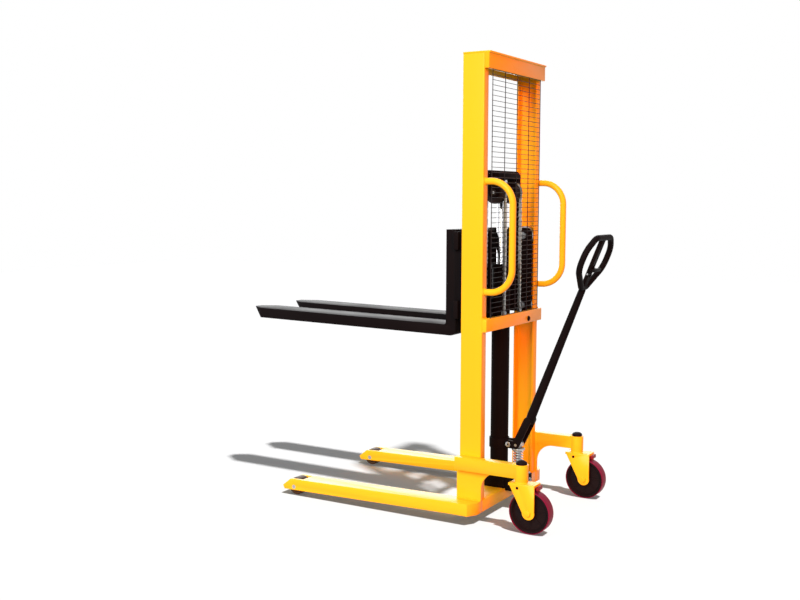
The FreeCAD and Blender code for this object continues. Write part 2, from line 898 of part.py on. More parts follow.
def tiller_bar():
    """Two cheek plates at the pivot, the bent bar and the stem inside the loop."""
    pieces = [Part.makeSphere(bar_low_radius, bend)]
    up = neck.sub(bend)
    pieces.append(Part.makeCone(bar_low_radius, bar_high_radius, up.Length, bend, up))
    pieces.append(slab(-stem_half, stem_half, 0, loop_length, stem_thick))
    pieces.append(Part.makeSphere(bar_high_radius, neck))
    run = V(bend_x - press_x, 0, bend_z - pivot_z)
    run.normalize()
    across = V(run.z, 0, -run.x).multiply(tiller_cheek_round)
    start = V(press_x, 0, pivot_z)
    for y0 in (cheek_in, -cheek_out):
        y1 = y0 + cheek_out - cheek_in
        pieces.append(rod(V(pivot_x, y0, pivot_z), V(pivot_x, y1, pivot_z), tiller_cheek_round))
        pieces.append(rod(V(press_x, y0, pivot_z), V(press_x, y1, pivot_z), tiller_cheek_round))
        pieces.append(rod(V(bend_x, y0, bend_z), V(bend_x, y1, bend_z), tiller_cheek_round))
        pieces.append(box(press_x, pivot_x, y0, y1, pivot_z - tiller_cheek_round,
                          pivot_z + tiller_cheek_round))
        strip = [start.add(across), bend.add(across), bend.sub(across), start.sub(across)]
        pieces.append(plate_xz([(p.x, p.z) for p in strip], y0, y1))
    pieces.append(rod(V(bend_x, -cheek_out, bend_z), V(bend_x, cheek_out, bend_z), tiller_cheek_round))
    whole = joined(pieces)
    lo, hi = -cheek_out - over, cheek_out + over
    whole = whole.cut(rod(V(pivot_x, lo, pivot_z), V(pivot_x, hi, pivot_z), pivot_radius + run_gap))
    whole = whole.cut(rod(V(press_x, lo, pivot_z), V(press_x, hi, pivot_z), press_pin_radius))
    pin = on_loop(0, release_pin_v)
    side = V(0, release_half, 0)
    whole = whole.cut(rod(pin.sub(side), pin.add(side), release_pin_radius))
    gap = release_lug_half + body_gap
    low = release_pin_v - release_thick - release_slot_gap
    slot = slab(-gap, gap, low, release_pin_v + release_length + release_slot_gap, stem_thick + over)
    return whole.cut(slot).cut(tiller_loop())


def tiller_loop():
    """Closed oval hand loop on the tiller."""
    right = [(loop_foot_half, loop_radius, loop_foot_bend)]
    right.append((loop_belly_half, loop_belly_low, loop_belly_bend))
    right.append((loop_belly_half, loop_belly_high, loop_belly_bend))
    right.append((loop_head_half, loop_length, loop_head_bend))
    left = [(-side, along, bend_radius) for side, along, bend_radius in reversed(right)]
    corners = [on_loop(side, along) for side, along, bend_radius in right + left]
    radii = [bend_radius for side, along, bend_radius in right + left]
    path = rounded(corners, radii, True)
    return tube_on(path, loop_radius)


def release_lever():
    """Finger bar hung in the slotted stem, one arm each side."""
    pin = on_loop(0, release_pin_v)
    top = release_pin_v + release_length
    lug = release_lug_half
    low = release_pin_v - release_thick
    head = top - release_thick - release_thick
    out_to = (stem_thick + release_thick) * half + release_stand_off
    blade = slab(-lug, lug, low, top, release_thick)
    neck_piece = slab(-lug, lug, head, top, out_to)
    neck_piece.translate(V(stem_normal).multiply(out_to * half))
    bar = slab(-release_half, release_half, head, top, release_thick)
    bar.translate(V(stem_normal).multiply(out_to))
    whole = joined([blade, neck_piece, bar])
    out = V(0, release_half, 0)
    return whole.cut(rod(pin.sub(out), pin.add(out), release_pin_radius + run_gap))


def release_pin():
    """Pin of the release lever, flush with the stem."""
    pin = on_loop(0, release_pin_v)
    side = V(0, stem_half, 0)
    return rod(pin.sub(side), pin.add(side), release_pin_radius)


nodes["tiller_bracket"] = tiller_bracket()
nodes["tiller_bar"] = tiller_bar()
nodes["tiller_loop"] = tiller_loop()
press_pin = rod(V(press_x, -cheek_out, pivot_z), V(press_x, cheek_out, pivot_z), press_pin_radius)
nodes["press_roller"] = ring(V(press_x, -press_half, pivot_z), V(press_x, press_half, pivot_z),
                             press_radius, press_pin_radius + run_gap)
nodes["release_lever"] = release_lever()
nodes["tiller_pins"] = Part.makeCompound([press_pin, release_pin()])


# chain wheels and crosshead
hanger_starts = (wheel_y - wheel_half - hanger_gap - hanger_thick, wheel_y + wheel_half + hanger_gap)
crosshead_top = crosshead_low + crosshead_thick
hoop_top = crosshead_top + hoop_bar


def chain_wheel():
    """Grooved chain wheel."""
    bore = wheel_axle_radius + run_gap
    chord = math.radians(quarter_turn) / wrap_links
    groove = chain_pitch_radius * math.cos(chord) - chain_half_depth - body_gap
    points = [(bore, -wheel_half), (wheel_flange_radius, -wheel_half)]
    points += [(wheel_flange_radius, -wheel_groove_half), (groove, -wheel_groove_half)]
    points += [(groove, wheel_groove_half), (wheel_flange_radius, wheel_groove_half)]
    points += [(wheel_flange_radius, wheel_half), (bore, wheel_half)]
    return turned(points, V(wheel_x, wheel_y, wheel_z), V(0, 1, 0))


def crosshead():
    """Plate on the ram with a pair of hangers for each chain wheel."""
    pieces = [box(crosshead_rear, crosshead_front, -crosshead_half, crosshead_half,
                  crosshead_low, crosshead_top)]
    for start in hanger_starts:
        end = start + hanger_thick
        plate = box(wheel_x - hanger_half, wheel_x + hanger_half, start, end, wheel_z, crosshead_low)
        foot = rod(V(wheel_x, start, wheel_z), V(wheel_x, end, wheel_z), hanger_half)
        pieces += [plate, foot, flip(plate), flip(foot)]
    whole = joined(pieces)
    lo, hi = -crosshead_half - over, crosshead_half + over
    return whole.cut(rod(V(wheel_x, lo, wheel_z), V(wheel_x, hi, wheel_z), wheel_axle_radius))


def wheel_axle():
    """Stub axle through both hangers of a chain wheel."""
    end = hanger_starts[1] + hanger_thick
    return rod(V(wheel_x, hanger_starts[0], wheel_z), V(wheel_x, end, wheel_z), wheel_axle_radius)


def guard_hoop():
    """Square bar hoop over the chain wheels, standing on the crosshead."""
    inner = hoop_half - hoop_bar
    x0 = -hoop_bar * half
    outer_path = [V(x0, -hoop_half, hoop_low), V(x0, -hoop_half, hoop_top)]
    outer_path += [V(x0, hoop_half, hoop_top), V(x0, hoop_half, hoop_low)]
    inner_path = [V(x0, inner, hoop_low), V(x0, inner, crosshead_top)]
    inner_path += [V(x0, -inner, crosshead_top), V(x0, -inner, hoop_low)]
    small = hoop_corner - hoop_bar
    one = rounded(outer_path, [0, hoop_corner, hoop_corner, 0], False)
    two = rounded(inner_path, [0, small, small, 0], False)
    edges = list(one.Edges) + [Part.makeLine(outer_path[-1], inner_path[0])]
    edges += list(two.Edges) + [Part.makeLine(inner_path[-1], outer_path[0])]
    face = Part.Face(Part.Wire(edges))
    return face.extrude(V(hoop_bar, 0, 0))


pair("chain_wheel", chain_wheel())
nodes["crosshead"] = crosshead()
nodes["wheel_axles"] = Part.makeCompound([wheel_axle(), flip(wheel_axle())])
nodes["guard_hoop"] = guard_hoop()


# chains
def link_at(start, end, wide):
    """One link: two plates between two pins, set wide or narrow."""
    run = end.sub(start)
    length = run.Length
    run.normalize()
    across = run.cross(V(0, 1, 0))
    deep = chain_half_depth
    bevel = deep * half
    outline = [(-deep, bevel), (-bevel, deep), (length + bevel, deep), (length + deep, bevel)]
    outline += [(length + deep, -bevel), (length + bevel, -deep), (-bevel, -deep), (-deep, -bevel)]
    inner = chain_plate if wide else 0.0
    plates = []
    for sign in (1, -1):
        points = []
        for along, out in outline:
            point = start.add(V(run).multiply(along)).add(V(across).multiply(out))
            points.append(point.add(V(0, sign * (inner + chain_plate * half), 0)))
        face = Part.Face(Part.makePolygon(points + [points[0]]))
        plates.append(face.extrude(V(0, sign * chain_plate, 0)))
    return plates


def chain_through(points):
    """Leaf chain whose pins stand at the points."""
    pieces = []
    reach = chain_plate * (1 + 1 + half) + chain_pin_rise
    for point in points:
        pieces.append(hexagon(point.sub(V(0, reach, 0)), V(0, 1, 0), chain_pin_radius, reach + reach))
    for i, (a, b) in enumerate(zip(points, points[1:])):
        pieces += link_at(a, b, i % 2 == 0)
    return joined(pieces)


def strand(x, low):
    """Straight run of chain from the wheel centre height down to an end fitting."""
    end = low + chain_half_depth + body_gap
    start = wheel_z - chain_half_depth - body_gap
    count = int(round((start - end) / chain_pitch))
    step = (start - end) / count
    return chain_through([V(x, wheel_y, start - step * i) for i in range(count + 1)])


def wrap():
    """Half turn of chain over the wheel."""
    points = []
    span = math.radians(quarter_turn + quarter_turn)
    for i in range(wrap_links + 1):
        turn = span * i / wrap_links
        points.append(V(wheel_x + chain_pitch_radius * math.cos(turn), wheel_y,
                        wheel_z + chain_pitch_radius * math.sin(turn)))
    lift = V(0, 0, chain_half_depth + body_gap + wrap_rise)
    points[0] = points[0].add(lift)
    points[-1] = points[-1].add(lift)
    return chain_through(points)


fixed_x = wheel_x - chain_pitch_radius
moving_x = wheel_x + chain_pitch_radius


def chain_tie():
    """Tie plate on the lower fork bar that takes both moving chain ends, cut out round the cylinder."""
    low = tie_top - tie_thick
    plate = box(moving_x - tie_rear_gap, bar_rear, -tie_half, tie_half, low, tie_top)
    return plate.cut(rod(V(0, 0, low - over), V(0, 0, tie_top + over), tie_cut_radius))


def both(shape):
    """A left piece and its mirrored right one in one node."""
    return Part.makeCompound([shape, flip(shape)])


nodes["chain_fixed_runs"] = both(strand(fixed_x, middle_beam_top + anchor_rise))
nodes["chain_moving_runs"] = both(strand(moving_x, tie_top))
nodes["chain_wraps"] = both(wrap())
nodes["chain_tie"] = chain_tie()

# carriage
side_out = tip_y - side_gap
side_in = side_out - side_thick


def side_plate():
    """Carriage side plate between the fork bars and the channel rollers."""
    lower_top = lower_bar_low + bar_height
    leaf = box(bar_rear, bar_front, side_in, side_out, lower_top, upper_bar_low)
    shape = box(side_rear, bar_rear, side_in, side_out, side_low, side_high)
    corners = []
    for edge in shape.Edges:
        a, b = edge.Vertexes[0].Point, edge.Vertexes[-1].Point
        if abs(a.x - b.x) + abs(a.z - b.z) < half and a.x < side_rear + half:
            corners.append(edge)
    shape = joined([shape.makeFillet(side_round, corners), leaf])
    for z in (carriage_roller_z_low, carriage_roller_z_high):
        shape = shape.cut(rod(V(0, side_in - over, z), V(0, side_out + over, z), carriage_axle_radius))
    return shape


def fork_bar(low):
    """Flat bar the forks hang on."""
    return box(bar_rear, bar_front, -bar_half, bar_half, low, low + bar_height)


channel_in = web_y - channel_wall


def carriage_roller(z):
    """Guide roller running inside a channel."""
    radius = face_x - channel_wall - body_gap
    bore = carriage_axle_radius + run_gap
    start = side_out + carriage_roller_end
    end = channel_in - carriage_roller_end
    edge = roller_edge
    points = [(bore, start), (radius - edge, start), (radius, start + edge), (radius, end - edge)]
    points += [(radius - edge, end), (bore, end)]
    return turned(points, V(0, 0, z), V(0, 1, 0))


def carriage_axle(z):
    """Roller axle with a hexagon head inside the side plate."""
    end = channel_in - carriage_roller_end
    bar = rod(V(0, side_in, z), V(0, end, z), carriage_axle_radius)
    head = hexagon(V(0, side_in, z), V(0, -1, 0), carriage_axle_head, carriage_axle_rise)
    return joined([bar, head])


pair("side_plate", side_plate())
nodes["upper_fork_bar"] = fork_bar(upper_bar_low)
nodes["lower_fork_bar"] = fork_bar(lower_bar_low)
pair("upper_roller", carriage_roller(carriage_roller_z_high))
pair("lower_roller", carriage_roller(carriage_roller_z_low))
axles = []
for height in (carriage_roller_z_low, carriage_roller_z_high):
    axles += [carriage_axle(height), flip(carriage_axle(height))]
nodes["carriage_axles"] = Part.makeCompound(axles)

# forks
shank_rear = bar_front + body_gap
shank_front = shank_rear + shank_thick
fork_inner = fork_outer - fork_width


def blade_line(x, level):
    """Height of a blade edge with its slight rise to the tip."""
    return level + fork_rake * x


def fork():
    """Folded fork: blade open below, shank open behind, hooks on both bars."""
    low = fork_top - fork_thick
    points = [(shank_rear, blade_line(shank_rear, low))]
    under = fork_reach - fork_undercut
    points.append((under, blade_line(under, low)))
    points.append((fork_reach, blade_line(fork_reach, fork_top)))
    inner_x = shank_front
    points.append((inner_x, blade_line(inner_x, fork_top)))
    points.append((inner_x, shank_high))
    points.append((shank_rear, shank_high))
    shape = plate_xz(points, fork_inner, fork_outer)
    heel = []
    for edge in shape.Edges:
        a, b = edge.Vertexes[0].Point, edge.Vertexes[-1].Point
        level = abs(a.z - blade_line(shank_rear, low)) < half and abs(a.x - shank_rear) < half
        if abs(a.x - b.x) + abs(a.z - b.z) < half and level:
            heel.append(edge)
    shape = shape.makeFillet(heel_round, heel)
    inside = []
    for edge in shape.Edges:
        a, b = edge.Vertexes[0].Point, edge.Vertexes[-1].Point
        level = abs(a.z - blade_line(inner_x, fork_top)) < half and abs(a.x - inner_x) < half
        if abs(a.x - b.x) + abs(a.z - b.z) < half and level:
            inside.append(edge)
    shape = shape.makeFillet(heel_inner_round, inside)
    lo, hi = fork_inner + fork_wall, fork_outer - fork_wall
    start = shank_front + fork_wall
    end = under - fork_wall
    cavity = [(start, blade_line(start, low) - over), (end, blade_line(end, low) - over)]
    cavity.append((end, blade_line(end, fork_top) - fork_wall))
    cavity.append((start, blade_line(start, fork_top) - fork_wall))
    shape = shape.cut(plate_xz(cavity, lo, hi))
    taper = tip_taper
    base = fork_reach - tip_taper_length
    far = fork_reach + over
    gain = taper * (tip_taper_length + over) / tip_taper_length
    bottom, top = low - over, shank_high + over
    for y, sign in ((fork_outer, -1), (fork_inner, 1)):
        edge_y = y - sign * over
        wedge = [(base, edge_y), (far, edge_y), (far, y + sign * gain), (base, y)]
        shape = shape.cut(plate_xy(wedge, bottom, top))
    hooks = []
    y0, y1 = fork_inner + hook_inset_in, fork_outer - hook_inset_out
    rear = bar_rear - body_gap
    upper = upper_bar_low + bar_height + body_gap
    hooks.append(box(rear - hook_lip, shank_rear + hook_lip, y0, y1, upper, upper + hook_thick))
    hooks.append(box(rear - hook_lip, rear, y0, y1, upper - hook_drop, upper))
    hooks.append(box(shank_rear, shank_front - hook_thick, y0, y1, shank_high - hook_drop, upper))
    lower = lower_bar_low - body_gap
    hooks.append(box(rear - hook_lip, shank_rear + hook_lip, y0, y1, lower - hook_thick, lower))
    hooks.append(box(rear - hook_lip, rear, y0, y1, lower, lower + hook_drop))
    return joined([shape] + hooks)


pair("fork", fork())

# common move to the middle of the bounding box, then one file per node
low_x = min(shape.optimalBoundingBox().XMin for shape in nodes.values())
high_x = max(shape.optimalBoundingBox().XMax for shape in nodes.values())
shift = -(low_x + high_x) * half
os.makedirs("parts", exist_ok=True)
for name, shape in nodes.items():
    moved = shape.copy()
    moved.translate(V(shift, 0, 0))
    moved.exportStep("parts/" + name + ".step")
print("nodes", len(nodes), "shift", round(shift, 4), "x", round(low_x, 3), round(high_x, 3))
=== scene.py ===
"""Hand pallet stacker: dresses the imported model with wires, chains, wheels, welds, bolts and paint.

The classes hold their sizes in millimetres and degrees, and places from the mast axis on the floor,
with X towards the fork tips and Y to the left. Meshes are in metres.
"""
from __future__ import annotations

import json
import logging
import math
from dataclasses import dataclass, field
from enum import Enum

import bmesh
import bpy
from mathutils import Matrix, Vector

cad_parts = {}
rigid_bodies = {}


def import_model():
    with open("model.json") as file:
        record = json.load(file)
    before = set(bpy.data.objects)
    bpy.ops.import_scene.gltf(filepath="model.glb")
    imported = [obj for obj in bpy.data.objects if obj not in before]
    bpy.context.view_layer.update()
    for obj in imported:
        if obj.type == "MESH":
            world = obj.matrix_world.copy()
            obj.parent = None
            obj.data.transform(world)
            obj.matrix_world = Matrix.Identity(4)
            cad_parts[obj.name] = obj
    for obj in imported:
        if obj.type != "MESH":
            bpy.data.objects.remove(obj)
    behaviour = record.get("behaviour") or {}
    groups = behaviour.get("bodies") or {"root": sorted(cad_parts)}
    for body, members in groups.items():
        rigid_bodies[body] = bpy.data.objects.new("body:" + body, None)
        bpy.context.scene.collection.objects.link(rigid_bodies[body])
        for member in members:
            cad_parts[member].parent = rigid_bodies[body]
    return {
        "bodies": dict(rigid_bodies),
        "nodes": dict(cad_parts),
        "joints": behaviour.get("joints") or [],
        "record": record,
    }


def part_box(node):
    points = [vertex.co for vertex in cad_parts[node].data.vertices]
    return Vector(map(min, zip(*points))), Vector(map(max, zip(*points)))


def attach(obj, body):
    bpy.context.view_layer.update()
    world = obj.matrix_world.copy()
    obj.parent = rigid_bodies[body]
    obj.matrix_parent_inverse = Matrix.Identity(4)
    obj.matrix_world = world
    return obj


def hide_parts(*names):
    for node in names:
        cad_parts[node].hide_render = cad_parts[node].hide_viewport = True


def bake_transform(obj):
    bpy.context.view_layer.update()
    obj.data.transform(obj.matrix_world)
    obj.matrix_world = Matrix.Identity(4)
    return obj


LOG = logging.getLogger("stacker")
MM = 0.001
SIGNS = (1.0, -1.0)
UP = (0.0, 0.0, 1.0)
BACK = (-1.0, 0.0, 0.0)
FORWARD = (1.0, 0.0, 0.0)
WHITE = (1.0, 1.0, 1.0)
DUST = (0.20, 0.17, 0.13, 1.0)
COAT_ROUGHNESS = 0.12
GLOSS_SPAN = (0.3, 0.7)
RELIEF_DEPTH = 1.0
CREASE = 32.0
ROUND_STEPS = 4
FLOAT = "NodeSocketFloat"
VECTOR = "NodeSocketVector"
OBJECT = "NodeSocketObject"

Point = tuple[float, float, float]
Colour = tuple[float, float, float]
BoltSize = tuple[float, float, float]
Outline = list[tuple[float, float]]
Places = list[tuple[Vector, Vector]]


class Slot(Enum):
    """Material slots of the record that new pieces take their finish from."""

    YELLOW = "yellow_paint"
    BLACK = "black_paint"
    STEEL = "steel"
    CHAIN = "chain_steel"
    WIRE = "wire"
    CHROME = "chrome"
    PLASTIC = "black_plastic"
    TREAD = "maroon_tread"
    ROLLER = "roller_plastic"
    RED = "red_paint"


class Side(Enum):
    """The stacker's two sides, the left one at +Y."""

    LEFT = "left"
    RIGHT = "right"

    @property
    def sign(self) -> float:
        """Sign of Y on this side."""
        return 1.0 if self is Side.LEFT else -1.0

    def own(self, piece: str) -> str:
        """Name of this side's own piece, node or body."""
        return f"{self.value}_{piece}"

    def point(self, x: float, y: float, z: float) -> Point:
        """Point on this side, from its place on the left."""
        return x, self.sign * y, z


class Pivot(Enum):
    """Axis that a repeated shape keeps while it turns to its direction."""

    FREE = "AUTO"
    ACROSS = "Y"


class Lit(Enum):
    """What a lamp lights."""

    FLOOR_ONLY = "INCLUDE"
    ALL_BUT_FLOOR = "EXCLUDE"


class Ease(Enum):
    """Widths of eased edges in millimetres, by how a piece is made."""

    FINE = 0.7
    PLATE = 1.6
    FORGED = 3.0


def feed(tree: bpy.types.NodeTree, node: bpy.types.Node, inputs: dict[str | int, object]) -> None:
    """Links sockets into a node's inputs, or sets plain values on them.

    Args:
        tree: the tree that holds the node.
        node: the node.
        inputs: input name or number to the socket that feeds it, or to a plain value.
    """
    for key, value in inputs.items():
        if isinstance(value, bpy.types.NodeSocket):
            tree.links.new(value, node.inputs[key])
        else:
            node.inputs[key].default_value = value


def add_node(tree: bpy.types.NodeTree, kind: str, inputs: dict[str | int, object] | None = None,
             **settings: object) -> bpy.types.Node:
    """Adds a node to a shader or geometry tree.

    Args:
        tree: the tree.
        kind: the node's type.
        inputs: what feeds its inputs.
        settings: its properties, set before the inputs.
    Returns:
        The new node.
    """
    node = tree.nodes.new(kind)
    for key, value in settings.items():
        setattr(node, key, value)
    feed(tree, node, inputs or {})
    return node


def math_node(tree: bpy.types.NodeTree, operation: str, *values: object,
              clamp: bool = False) -> bpy.types.NodeSocket:
    """Adds a shader math node.

    Args:
        tree: the tree.
        operation: what it works out.
        values: the sockets or numbers it works on.
        clamp: whether the result is kept between 0 and 1.
    Returns:
        The socket with the result.
    """
    inputs = dict(enumerate(values))
    return add_node(tree, "ShaderNodeMath", inputs, operation=operation, use_clamp=clamp).outputs[0]


def node_group(name: str, inputs: dict[str, float], outputs: tuple[str, ...]) -> bpy.types.NodeTree:
    """Makes an empty shader group with float inputs and outputs.

    Args:
        name: the group's name.
        inputs: input name to default value.
        outputs: output names.
    Returns:
        The new group, with its input and output nodes in place.
    """
    tree = bpy.data.node_groups.new(name, "ShaderNodeTree")
    for key, value in inputs.items():
        socket = tree.interface.new_socket(name=key, in_out="INPUT", socket_type=FLOAT)
        socket.default_value = value
    for key in outputs:
        tree.interface.new_socket(name=key, in_out="OUTPUT", socket_type=FLOAT)
    tree.nodes.new("NodeGroupInput").name = "in"
    tree.nodes.new("NodeGroupOutput").name = "out"
    return tree


def surface_group() -> bpy.types.NodeTree:
    """Builds the shared group for tone, gloss and fine relief that drift over a surface.

    Returns:
        The shader group with Tone, Gloss and Height outputs between 0 and 1.
    """
    patch_share, grain_share = 0.65, 0.35
    tree = node_group("surface_drift", {"Patch": 6.0, "Grain": 240.0, "Streak": 1.0},
                      ("Tone", "Gloss", "Height"))
    given = tree.nodes["in"].outputs
    coord = add_node(tree, "ShaderNodeTexCoord").outputs["Object"]
    scale = add_node(tree, "ShaderNodeCombineXYZ", {0: 1.0, 1: 1.0, 2: given["Streak"]})
    stretch = add_node(tree, "ShaderNodeMapping", {"Vector": coord, "Scale": scale.outputs[0]})
    patch = add_node(tree, "ShaderNodeTexNoise",
                     {"Vector": stretch.outputs[0], "Scale": given["Patch"], "Detail": 5.0}).outputs["Fac"]
    fine = add_node(tree, "ShaderNodeTexNoise",
                    {"Vector": coord, "Scale": given["Grain"], "Detail": 3.0}).outputs["Fac"]
    broad = math_node(tree, "MULTIPLY", patch, patch_share)
    gloss = math_node(tree, "MULTIPLY_ADD", fine, grain_share, broad)
    feed(tree, tree.nodes["out"], {"Tone": patch, "Gloss": gloss, "Height": fine})
    return tree


def low_dirt_group() -> bpy.types.NodeTree:
    """Builds the shared group for road dust that gathers near the floor.

    Returns:
        The shader group with one Mask output, 1 at the floor and 0 above Top.
    """
    tree = node_group("floor_dust", {"Top": 0.35, "Amount": 0.35}, ("Mask",))
    given = tree.nodes["in"].outputs
    coord = add_node(tree, "ShaderNodeTexCoord").outputs["Object"]
    height = add_node(tree, "ShaderNodeSeparateXYZ", {0: coord}).outputs["Z"]
    fall = math_node(tree, "SUBTRACT", 1.0, math_node(tree, "DIVIDE", height, given["Top"]), clamp=True)
    noise = add_node(tree, "ShaderNodeTexNoise", {"Vector": coord, "Scale": 28.0, "Detail": 6.0})
    specks = math_node(tree, "MULTIPLY", fall, noise.outputs["Fac"])
    feed(tree, tree.nodes["out"], {"Mask": math_node(tree, "MULTIPLY", specks, given["Amount"], clamp=True)})
    return tree


@dataclass(frozen=True)
class Finish:
    """One surface finish and the numbers that shape its procedural material."""

    slot: Slot
    colour: Colour
    tone: Colour
    rough: tuple[float, float]
    metallic: float = 0.0
    coat: float = 0.0
    specular: float = 0.5
    patch: float = 6.0
    grain: float = 240.0
    streak: float = 1.0
    relief: float = 0.05
    dust: float = 0.0

    def material(self, drift: bpy.types.NodeTree, dirt: bpy.types.NodeTree) -> bpy.types.Material:
        """Builds the material.

        Args:
            drift: the shared tone, gloss and relief group.
            dirt: the shared floor dust group.
        Returns:
            The finished material.
        """
        mat = bpy.data.materials.new(self.slot.value + "_finish")
        mat.use_nodes = True
        tree = mat.node_tree
        surface = add_node(tree, "ShaderNodeGroup", {"Patch": self.patch, "Grain": self.grain,
                                                     "Streak": self.streak}, node_tree=drift).outputs
        colour = add_node(tree, "ShaderNodeMix", {"Factor": surface["Tone"], "A": (*self.colour, 1.0),
                                                  "B": (*self.tone, 1.0)}, data_type="RGBA").outputs["Result"]
        if self.dust > 0.0:
            low = add_node(tree, "ShaderNodeGroup", {"Amount": self.dust}, node_tree=dirt)
            colour = add_node(tree, "ShaderNodeMix", {"Factor": low.outputs["Mask"], "A": colour, "B": DUST},
                              data_type="RGBA").outputs["Result"]
        gloss = add_node(tree, "ShaderNodeMapRange", {
            "Value": surface["Gloss"], "From Min": GLOSS_SPAN[0], "From Max": GLOSS_SPAN[1],
            "To Min": self.rough[0], "To Max": self.rough[1]})
        bump = add_node(tree, "ShaderNodeBump", {
            "Strength": self.relief, "Distance": RELIEF_DEPTH * MM, "Height": surface["Height"]})
        feed(tree, tree.nodes["Principled BSDF"], {
            "Base Color": colour, "Roughness": gloss.outputs["Result"], "Normal": bump.outputs["Normal"],
            "Metallic": self.metallic, "Specular IOR Level": self.specular,
            "Coat Weight": self.coat, "Coat Roughness": COAT_ROUGHNESS})
        return mat


FINISHES = (
    Finish(Slot.YELLOW, (0.93, 0.605, 0.018), (0.90, 0.560, 0.015), (0.24, 0.36), coat=0.03,
           specular=0.12, patch=3.0, grain=420.0, relief=0.035, dust=0.04),
    Finish(Slot.BLACK, (0.0045, 0.0045, 0.005), (0.008, 0.008, 0.009), (0.36, 0.52), specular=0.012,
           patch=5.0, grain=380.0, relief=0.05, dust=0.04),
    Finish(Slot.STEEL, (0.55, 0.55, 0.56), (0.42, 0.42, 0.43), (0.24, 0.42), metallic=1.0,
           patch=18.0, grain=600.0, streak=6.0, relief=0.06),
    Finish(Slot.CHAIN, (0.66, 0.65, 0.63), (0.44, 0.43, 0.41), (0.28, 0.46), metallic=1.0,
           patch=60.0, grain=700.0, relief=0.10),
    Finish(Slot.WIRE, (0.026, 0.026, 0.028), (0.018, 0.018, 0.020), (0.34, 0.50), metallic=0.5,
           specular=0.1, patch=30.0, grain=800.0, relief=0.08),
    Finish(Slot.CHROME, (0.80, 0.80, 0.82), (0.74, 0.74, 0.76), (0.06, 0.14), metallic=1.0,
           patch=10.0, grain=900.0, streak=0.2, relief=0.01),
    Finish(Slot.PLASTIC, (0.006, 0.004, 0.005), (0.010, 0.007, 0.008), (0.42, 0.60), specular=0.05,
           patch=10.0, grain=900.0, relief=0.12, dust=0.02),
    Finish(Slot.TREAD, (0.190, 0.007, 0.050), (0.140, 0.006, 0.036), (0.32, 0.48), specular=0.08,
           patch=12.0, grain=500.0, relief=0.08, dust=0.03),
    Finish(Slot.ROLLER, (0.050, 0.032, 0.014), (0.034, 0.022, 0.010), (0.40, 0.58), specular=0.15,
           patch=16.0, grain=500.0, relief=0.08, dust=0.04),
    Finish(Slot.RED, (0.22, 0.010, 0.020), (0.17, 0.008, 0.015), (0.26, 0.40), specular=0.10,
           patch=8.0, grain=420.0, relief=0.05, dust=0.03),
)


def smooth(mesh: bpy.types.Mesh, crease: float = CREASE) -> bpy.types.Mesh:
    """Shades a mesh smooth, apart from its sharp edges.

    Args:
        mesh: the mesh.
        crease: angle in degrees from which an edge stays sharp.
    Returns:
        The same mesh.
    """
    for polygon in mesh.polygons:
        polygon.use_smooth = True
    mesh.set_sharp_from_angle(angle=math.radians(crease))
    return mesh


def mesh_of(work: bmesh.types.BMesh, name: str, outward: bool = True) -> bpy.types.Mesh:
    """Turns bmesh work into a mesh and frees it.

    Args:
        work: the work.
        name: the mesh's name.
        outward: whether its faces are turned outwards first.
    Returns:
        The new mesh.
    """
    if outward:
        bmesh.ops.recalc_face_normals(work, faces=work.faces)
    mesh = bpy.data.meshes.new(name)
    work.to_mesh(mesh)
    work.free()
    return mesh


def baked(holder: bpy.types.Object) -> bpy.types.Mesh:
    """Evaluates an object's modifiers into a plain mesh and removes the object.

    Args:
        holder: the object with its modifiers.
    Returns:
        The plain mesh.
    """
    bpy.context.view_layer.update()
    graph = bpy.context.evaluated_depsgraph_get()
    mesh = bpy.data.meshes.new_from_object(holder.evaluated_get(graph))
    mesh.name = holder.name
    bpy.data.objects.remove(holder)
    return mesh


def new_object(name: str, data: bpy.types.ID) -> bpy.types.Object:
    """Makes an object of a mesh, lamp or camera in the scene.

    Args:
        name: the object's name.
        data: what it shows.
    Returns:
        The new object, at the origin.
    """
    item = bpy.data.objects.new(name, data)
    bpy.context.scene.collection.objects.link(item)
    return item


def axis_span(node: str) -> tuple[Vector, Vector]:
    """Finds the upright axis through a carried node's box.

    Args:
        node: the node.
    Returns:
        The axis's bottom and top.
    """
    low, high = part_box(node)
    middle = (low + high) / 2
    return Vector((middle.x, middle.y, low.z)), Vector((middle.x, middle.y, high.z))


def wheel_size(node: str) -> tuple[Vector, float, float]:
    """Centre, radius and half width of a carried wheel whose axle lies along Y."""
    low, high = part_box(node)
    return (low + high) / 2, (high.z - low.z) / 2, (high.y - low.y) / 2


